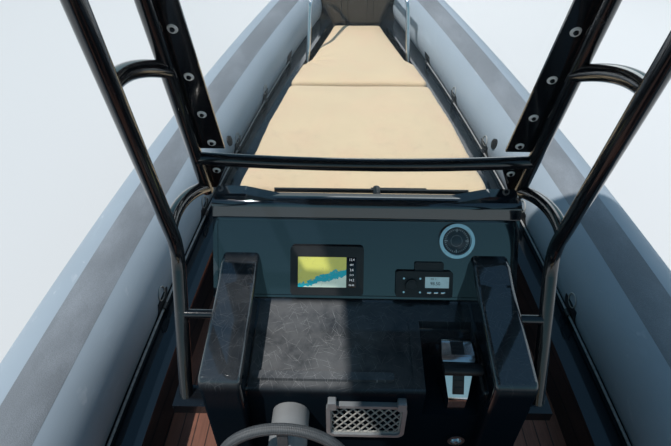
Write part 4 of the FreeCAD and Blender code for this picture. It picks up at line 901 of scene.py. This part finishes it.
class BOAT_OT_sunpad(bpy.types.Operator):
    """Make the two sunpads as filled cloth, with a rolled aft edge and puckers at the rail's notch"""

    bl_idname = "boat.sunpad"
    bl_label = "Sunpads"

    notch = Vector((-0.46, 2.95, 0))
    roll_start = 1.02
    roll_bow = 0.06
    roll_width = 0.16
    roll_drop = 0.045
    half_width = 0.75
    top_low = 0.60
    top_depth = 0.10

    def top_share(self, co):
        """0 on the pad's lower part and 1 on its top."""
        return min(max((co.z - self.top_low) / self.top_depth, 0.0), 1.0)

    def aft_shape(self, co):
        """The aft edge rolls down, more in the middle than at the sides."""
        middle = 1 - (co.x / self.half_width) ** 2
        reach = (self.roll_start + self.roll_bow * middle - co.y) / self.roll_width
        share = min(max(reach, 0.0), 1.0)
        ripple = noise.noise(Vector((co.x * 9, co.y * 14, 3.0))) * 0.006
        sag = noise.noise(Vector((co.x * 2.2, co.y * 2.0, 0.0))) * 0.004
        drop = share * share * self.roll_drop + share * ripple - sag * (1 - share)
        return Vector((co.x, co.y, co.z - self.top_share(co) * drop))

    def fore_shape(self, co):
        """Puckers run out from the port notch, with a soft hollow between."""
        away = Vector((co.x, co.y, 0)) - self.notch
        turn = atan2(away.y, away.x)
        fade = exp(-(away.length / 0.20) ** 2)
        pucker = sin(turn * 9.0) * 0.007 * fade * min(1.0, away.length / 0.04)
        sag = noise.noise(Vector((co.x * 2.5, co.y * 1.6, 5.0))) * 0.005
        return Vector((co.x, co.y, co.z + self.top_share(co) * (pucker + sag - 0.006 * fade)))

    def execute(self, context):
        colours, sizes = settings(context)
        cloth = pad_cloth(colours)
        for end, shape in (("aft", self.aft_shape), ("forward", self.fore_shape)):
            stuffed("sunpad_cloth_" + end, "sunpad_" + end, sizes.voxel_large, cloth, sizes, shape=shape)
        return {"FINISHED"}


class BOAT_OT_seats(bpy.types.Operator):
    """Make the seat cushions and backrests as filled cloth"""

    bl_idname = "boat.seats"
    bl_label = "Seats"

    cushions = (
        ("front_cushion", "boat"), ("helm_cushion", "boat"), ("helm_backrest", "boat"),
        ("bench_cushion", "bench_seat"), ("bench_backrest", "boat"),
    )

    def execute(self, context):
        colours, sizes = settings(context)
        cloth = pad_cloth(colours, "seat_cloth")
        for node, body in self.cushions:
            stuffed(node + "_cloth", node, sizes.voxel_small, cloth, sizes, body=body)
        seat = black_gelcoat(colours, "seat_gelcoat")
        finish_nodes(seat, "helm_seat", "stern_bench", "bench_lid", edge=0.004)
        finish_nodes(bright_steel(colours), "backrest_posts")
        return {"FINISHED"}


class BOAT_OT_console(bpy.types.Operator):
    """Finish the console and its small fittings"""

    bl_idname = "boat.console"
    bl_label = "Console"

    def execute(self, context):
        colours = context.scene.boat_colours
        finish_nodes(black_gelcoat(colours, "console_gelcoat", 0.02, 0.0), "console", edge=0.006)
        finish_nodes(satin_grey("pocket_steel", (0.30, 0.32, 0.34), 0.35, 0.30), "net_pocket", edge=0.0015)
        finish_nodes(bright_steel(colours), "dash_socket", edge=0.0015)
        finish_nodes(pale_cord("net_cord"), "net")
        finish_nodes(satin_grey("column_grey", (0.23, 0.24, 0.25)), "helm_hub")
        return {"FINISHED"}


class BOAT_OT_instruments(bpy.types.Operator):
    """Fit the chart display, radio face and compass card"""

    bl_idname = "boat.instruments"
    bl_label = "Instruments"

    # The middle of each instrument on the dash, and sizes of what is laid on it
    plotter = (-0.125, -0.062)
    radio = (0.198, -0.104)
    compass = (0.302, 0.042)
    chart_size = (0.1600, 0.1015, 0.001)
    glass_size = (0.0300, 0.1015, 0.0006)
    display_size = (0.0790, 0.0370, 0.001)
    figures = ("12.4", "087", "3.6", "21.5", "14.2", "06:40")
    figure_step = 0.0170
    knob_ribs = 36
    knob_radius = 0.0202
    card_radius = 0.0455
    screw_ring = 0.0525

    def execute(self, context):
        colours = context.scene.boat_colours
        plastic = black_plastic(colours)
        steel = bright_steel(colours)
        finish_nodes(plastic, "chartplotter", "radio", edge=0.0015)
        self.make_plotter()
        self.make_radio(steel, plastic)
        self.make_compass(steel)
        return {"FINISHED"}

    def add_plate(self, name, size, place, material, ease=0.0):
        bm = bmesh.new()
        block(bm, size, place, ease)
        make_piece(name, bm, material)

    def make_plotter(self):
        """The chart in its recess, and a dark glass with figures beside it."""
        x, y = self.plotter
        chart = (x - 0.016, y - 0.0045)
        picture = chart_picture(*chart)
        self.add_plate("plotter_chart", self.chart_size, on_panel(*chart, 0.0238), picture)
        dark = lit_display("display_dark", (0.004, 0.004, 0.010), 0.0)
        place = on_panel(x + 0.0815, y - 0.0045, 0.0263)
        self.add_plate("plotter_glass", self.glass_size, place, dark, 0.0002)
        white = lit_display("display_white", (0.8, 0.82, 0.85), 0.5)
        for i, text in enumerate(self.figures):
            place = on_panel(x + 0.0815, y + 0.0385 - i * self.figure_step, 0.0268)
            words("plotter_figure_%d" % i, text, 0.0105 if i % 2 == 0 else 0.0080, place, white)

    def make_radio(self, steel, plastic):
        """The display, knob, buttons and face screws."""
        x, y = self.radio
        glow = lit_display("radio_glow", (0.40, 0.58, 0.62), 0.25)
        self.add_plate("radio_display", self.display_size, on_panel(x + 0.042, y + 0.007, 0.0166), glow)
        ink = lit_display("display_ink", (0.02, 0.03, 0.03), 0.0)
        words("radio_figure", "98.50", 0.0150, on_panel(x + 0.036, y + 0.003, 0.0173), ink)
        words("radio_line", "FM  1", 0.0080, on_panel(x + 0.030, y + 0.018, 0.0173), ink)
        bm = bmesh.new()
        for dx in (-0.068, -0.014):
            for dy in (-0.026, 0.020):
                disc(bm, 0.0046, 0.0022, on_panel(x + dx, y + dy, 0.0178), 20, 0.0034)
        for dx in (0.016, 0.039, 0.062):
            block(bm, (0.0136, 0.0062, 0.0012), on_panel(x + dx, y - 0.0265, 0.0214), 0.0003)
        make_piece("radio_bright_parts", bm, steel)
        bm = bmesh.new()
        for i in range(self.knob_ribs):
            turn = Matrix.Rotation(2 * pi * i / self.knob_ribs, 4, "Z")
            out = Matrix.Translation((self.knob_radius, 0, 0))
            place = on_panel(x - 0.042, y - 0.003, 0.0225) @ turn @ out
            block(bm, (0.0014, 0.0016, 0.0095), place)
        disc(bm, 0.0150, 0.0012, on_panel(x - 0.042, y - 0.003, 0.0279), 40, 0.0138)
        make_piece("radio_knob", bm, plastic)

    def make_compass(self, steel):
        """The bezel's screws, and the card under the dome."""
        x, y = self.compass
        finish_nodes(steel, "compass", edge=0.0015)
        finish_nodes(glass_dome(), "compass_glass")
        bm = bmesh.new()
        disc(bm, self.card_radius, 0.0008, on_panel(x, y, 0.0052), 64)
        make_piece("compass_card", bm, compass_card(x, y))
        bm = bmesh.new()
        for i in range(4):
            turn = radians(45 + 90 * i)
            place = on_panel(x + self.screw_ring * cos(turn), y + self.screw_ring * sin(turn), 0.0160)
            disc(bm, 0.0030, 0.0012, place, 16, 0.0024)
        make_piece("compass_screws", bm, steel)


class BOAT_OT_controls(bpy.types.Operator):
    """Finish the throttle and the steering wheel"""

    bl_idname = "boat.controls"
    bl_label = "Controls"

    throttle_x = 0.244
    insets = (((-0.583, 0.966), (-0.535, 1.035), 0.034), ((-0.505, 1.0545), (-0.462, 1.0625), 0.040))
    ribs = 3

    def execute(self, context):
        colours = context.scene.boat_colours
        steel, plastic = bright_steel(colours), black_plastic(colours)
        finish_nodes(steel, "throttle", edge=0.003)
        finish_nodes(plastic, "throttle_grip", edge=0.003)
        finish_nodes(wheel_grip(colours), "steering_wheel")
        bm = bmesh.new()
        for aft, fore, width in self.insets:
            self.add_inset(bm, Vector((self.throttle_x, *aft)), Vector((self.throttle_x, *fore)), width)
        make_piece("throttle_insets", bm, plastic)
        return {"FINISHED"}

    def add_inset(self, bm, aft, fore, width):
        """A thin dark plate on the throttle's body between two points, with ribs across it."""
        along = (fore - aft).normalized()
        out = X_AXIS.cross(along)
        turn = Matrix((X_AXIS, along, out)).transposed().to_4x4()
        length = (fore - aft).length
        place = Matrix.Translation((aft + fore) / 2) @ turn
        block(bm, (width, length, 0.003), place, 0.0008)
        for i in range(self.ribs):
            spot = Matrix.Translation((0, length * ((i + 1) / (self.ribs + 1) - 0.5), 0.0016))
            block(bm, (width * 0.7, 0.005, 0.0024), place @ spot, 0.0006)


class BOAT_OT_frame(bpy.types.Operator):
    """Finish the frame, roof and screen, and bolt the plates on"""

    bl_idname = "boat.frame"
    bl_label = "Frame, roof and screen"

    leg_low = Vector((0.543, -0.009, 1.300))
    leg_high = Vector((0.491, -0.453, 2.425))
    bolt_heights = (1.395, 1.529, 1.647, 1.781, 1.921, 2.060, 2.200, 2.339)
    bolt_reach = 0.475
    low_bolt_out = 0.015
    plate_back = 0.0132
    washer_depth = 0.0030
    head_depth = 0.0040

    def execute(self, context):
        colours, sizes = settings(context)
        paint = frame_paint(colours)
        finish_nodes(paint, "frame_legs", "roof_side_rails", "roof_cross_rails", "screen_plates",
                     "cross_tube", "link_tubes")
        finish_nodes(hull_gelcoat(colours), "roof", edge=0.006)
        finish_nodes(clear_panel(), "windscreen")
        finish_nodes(black_plastic(colours), "wiper", edge=0.001)
        along = (self.leg_high - self.leg_low).normalized()
        facing = along.cross(X_AXIS).normalized()
        up = X_AXIS.cross(facing)
        turn = Matrix((-X_AXIS, up, -facing)).transposed().to_4x4()
        washers, heads = bmesh.new(), bmesh.new()
        for height in self.bolt_heights:
            reach = self.bolt_reach + (self.low_bolt_out if height == self.bolt_heights[0] else 0.0)
            share = (height - self.leg_low.z) / (self.leg_high.z - self.leg_low.z)
            middle = self.leg_low.lerp(self.leg_high, share) + facing * self.plate_back
            for side in (-1, 1):
                spot = Vector((FRAME_X + side * reach, middle.y, middle.z))
                place = Matrix.Translation(spot) @ turn
                radius = sizes.bolt_radius
                disc(washers, radius, self.washer_depth, place, 28, radius * 0.86)
                above = place @ Matrix.Translation((0, 0, 0.0028))
                disc(heads, radius * 0.50, self.head_depth, above, 24, radius * 0.40)
        washer = satin_grey("washer_steel", (0.72, 0.73, 0.73), 0.2, 0.3)
        make_piece("plate_washers", washers, washer)
        make_piece("plate_bolts", heads, paint)
        return {"FINISHED"}


class BOAT_OT_bow(bpy.types.Operator):
    """Finish the bow step, locker lid, rails, eye and cleats"""

    bl_idname = "boat.bow"
    bl_label = "Bow"

    def execute(self, context):
        colours = context.scene.boat_colours
        finish_nodes(black_gelcoat(colours, "bow_gelcoat"), "bow_deck", "bow_locker_lid")
        finish_nodes(bright_steel(colours), "bow_rails", "bow_eye", "cleats")
        return {"FINISHED"}


class BOAT_OT_engine(bpy.types.Operator):
    """Finish the outboard and its propeller"""

    bl_idname = "boat.engine"
    bl_label = "Outboard"

    def execute(self, context):
        colours = context.scene.boat_colours
        finish_nodes(frame_paint(colours, "engine_paint"), "engine_cowl", "engine_leg")
        metal = satin_grey("engine_satin", (0.05, 0.052, 0.056), 0.3)
        finish_nodes(metal, "engine_clamp", "engine_swivel")
        finish_nodes(bright_steel(colours), "propeller")
        return {"FINISHED"}


class BOAT_OT_stage(bpy.types.Operator):
    """Set the pale floor, the lamps, the world and the camera"""

    bl_idname = "boat.stage"
    bl_label = "Stage"

    lamps = (
        ("sun", "SUN", "sun_power", 0.020, (-4.3, -3.3, 10.0), (1.0, 0.97, 0.92)),
        ("fill", "AREA", "fill_power", 6.0, (7.0, 3.0, 5.0), (0.90, 0.95, 1.0)),
        ("back", "AREA", "back_power", 4.0, (1.5, 9.5, 5.0), (1.0, 1.0, 1.0)),
    )
    sky = (
        (0.0, (0.84, 0.92, 0.95)), (0.30, (0.26, 0.60, 0.74)),
        (0.60, (0.14, 0.30, 0.46)), (1.0, (0.10, 0.22, 0.38)),
    )
    backdrop = (0.78, 0.84, 0.88)

    def execute(self, context):
        stage = context.scene.boat_stage
        self.add_floor(stage)
        for name, kind, power, size, place, tint in self.lamps:
            lamp = bpy.data.lights.new(name, kind)
            give(lamp, energy=getattr(stage, power), color=tint)
            setattr(lamp, "angle" if kind == "SUN" else "size", size)
            aim = Vector(place).to_track_quat("Z", "Y").to_euler()
            give(show(name, lamp), location=place, rotation_euler=aim)
        self.add_world(context, stage)
        self.add_camera(context, stage)
        context.scene.view_settings.view_transform = "Standard"
        return {"FINISHED"}

    def add_floor(self, stage):
        bm = bmesh.new()
        bmesh.ops.create_grid(bm, x_segments=1, y_segments=1, size=stage.floor_size / 2)
        floor = show("floor", as_mesh("floor", bm))
        floor.data.materials.append(floor_pale(0.68))

    def add_world(self, context, stage):
        """A sky that is pale at the horizon and deeper overhead, and a plain pale backdrop to the camera."""
        world = bpy.data.worlds.new("studio")
        world.use_nodes = True
        tree = world.node_tree
        link, inner = tree.links.new, tree.nodes["Background"]
        spot, axes, ramp, seen, rays, choice = [
            tree.nodes.new("ShaderNode" + kind)
            for kind in ("TexCoord", "SeparateXYZ", "ValToRGB", "Background", "LightPath", "MixShader")
        ]
        for place, tint in self.sky[1:-1]:
            ramp.color_ramp.elements.new(place)
        for element, (place, tint) in zip(ramp.color_ramp.elements, self.sky):
            element.position = place
            element.color = (*tint, 1.0)
        inner.inputs["Strength"].default_value = stage.world_level
        seen.inputs["Color"].default_value = (*self.backdrop, 1.0)
        link(spot.outputs["Generated"], axes.inputs[0])
        link(axes.outputs[2], ramp.inputs[0])
        link(ramp.outputs[0], inner.inputs["Color"])
        for socket, source in enumerate((rays.outputs["Is Camera Ray"], inner.outputs[0], seen.outputs[0])):
            link(source, choice.inputs[socket])
        link(choice.outputs[0], tree.nodes["World Output"].inputs["Surface"])
        context.scene.world = world

    def add_camera(self, context, stage):
        camera = show("camera", bpy.data.cameras.new("camera"))
        place = Matrix.Translation(stage.camera_place)
        turns = (-stage.camera_yaw, "Z"), (pi / 2 - stage.camera_pitch, "X"), (stage.camera_roll, "Z")
        for turn, axis in turns:
            place = place @ Matrix.Rotation(turn, 4, axis)
        camera.matrix_world = place
        lens = SENSOR_WIDTH * stage.focal_pixels / PHOTO_WIDTH
        give(camera.data, sensor_width=SENSOR_WIDTH, lens=lens, clip_start=0.02, clip_end=200.0)
        context.scene.camera = camera


OPERATORS = (
    BOAT_OT_tubes, BOAT_OT_grab_lines, BOAT_OT_hull, BOAT_OT_sunpad, BOAT_OT_seats, BOAT_OT_console,
    BOAT_OT_instruments, BOAT_OT_controls, BOAT_OT_frame, BOAT_OT_bow, BOAT_OT_engine, BOAT_OT_stage,
)


class BOAT_PT_dress(bpy.types.Panel):
    """Lists the steps that dress the boat"""

    bl_idname = "BOAT_PT_dress"
    bl_label = "Dress the boat"
    bl_space_type = "VIEW_3D"
    bl_region_type = "UI"
    bl_category = "Boat"

    def draw(self, context):
        for operator in OPERATORS:
            self.layout.operator(operator.bl_idname)
        for group in (context.scene.boat_colours, context.scene.boat_sizes, context.scene.boat_stage):
            for name in group.__annotations__:
                self.layout.prop(group, name)


GROUPS = (("boat_colours", BoatColours), ("boat_sizes", BoatSizes), ("boat_stage", BoatStage))


def register():
    for name, group in GROUPS:
        bpy.utils.register_class(group)
        setattr(bpy.types.Scene, name, PointerProperty(type=group))
    for operator in OPERATORS:
        bpy.utils.register_class(operator)
    bpy.utils.register_class(BOAT_PT_dress)


def unregister():
    bpy.utils.unregister_class(BOAT_PT_dress)
    for operator in reversed(OPERATORS):
        bpy.utils.unregister_class(operator)
    for name, group in reversed(GROUPS):
        delattr(bpy.types.Scene, name)
        bpy.utils.unregister_class(group)


def main():
    register()
    for operator in OPERATORS:
        area, step = operator.bl_idname.split(".")
        getattr(getattr(bpy.ops, area), step)()


if __name__ == "__main__":
    main()
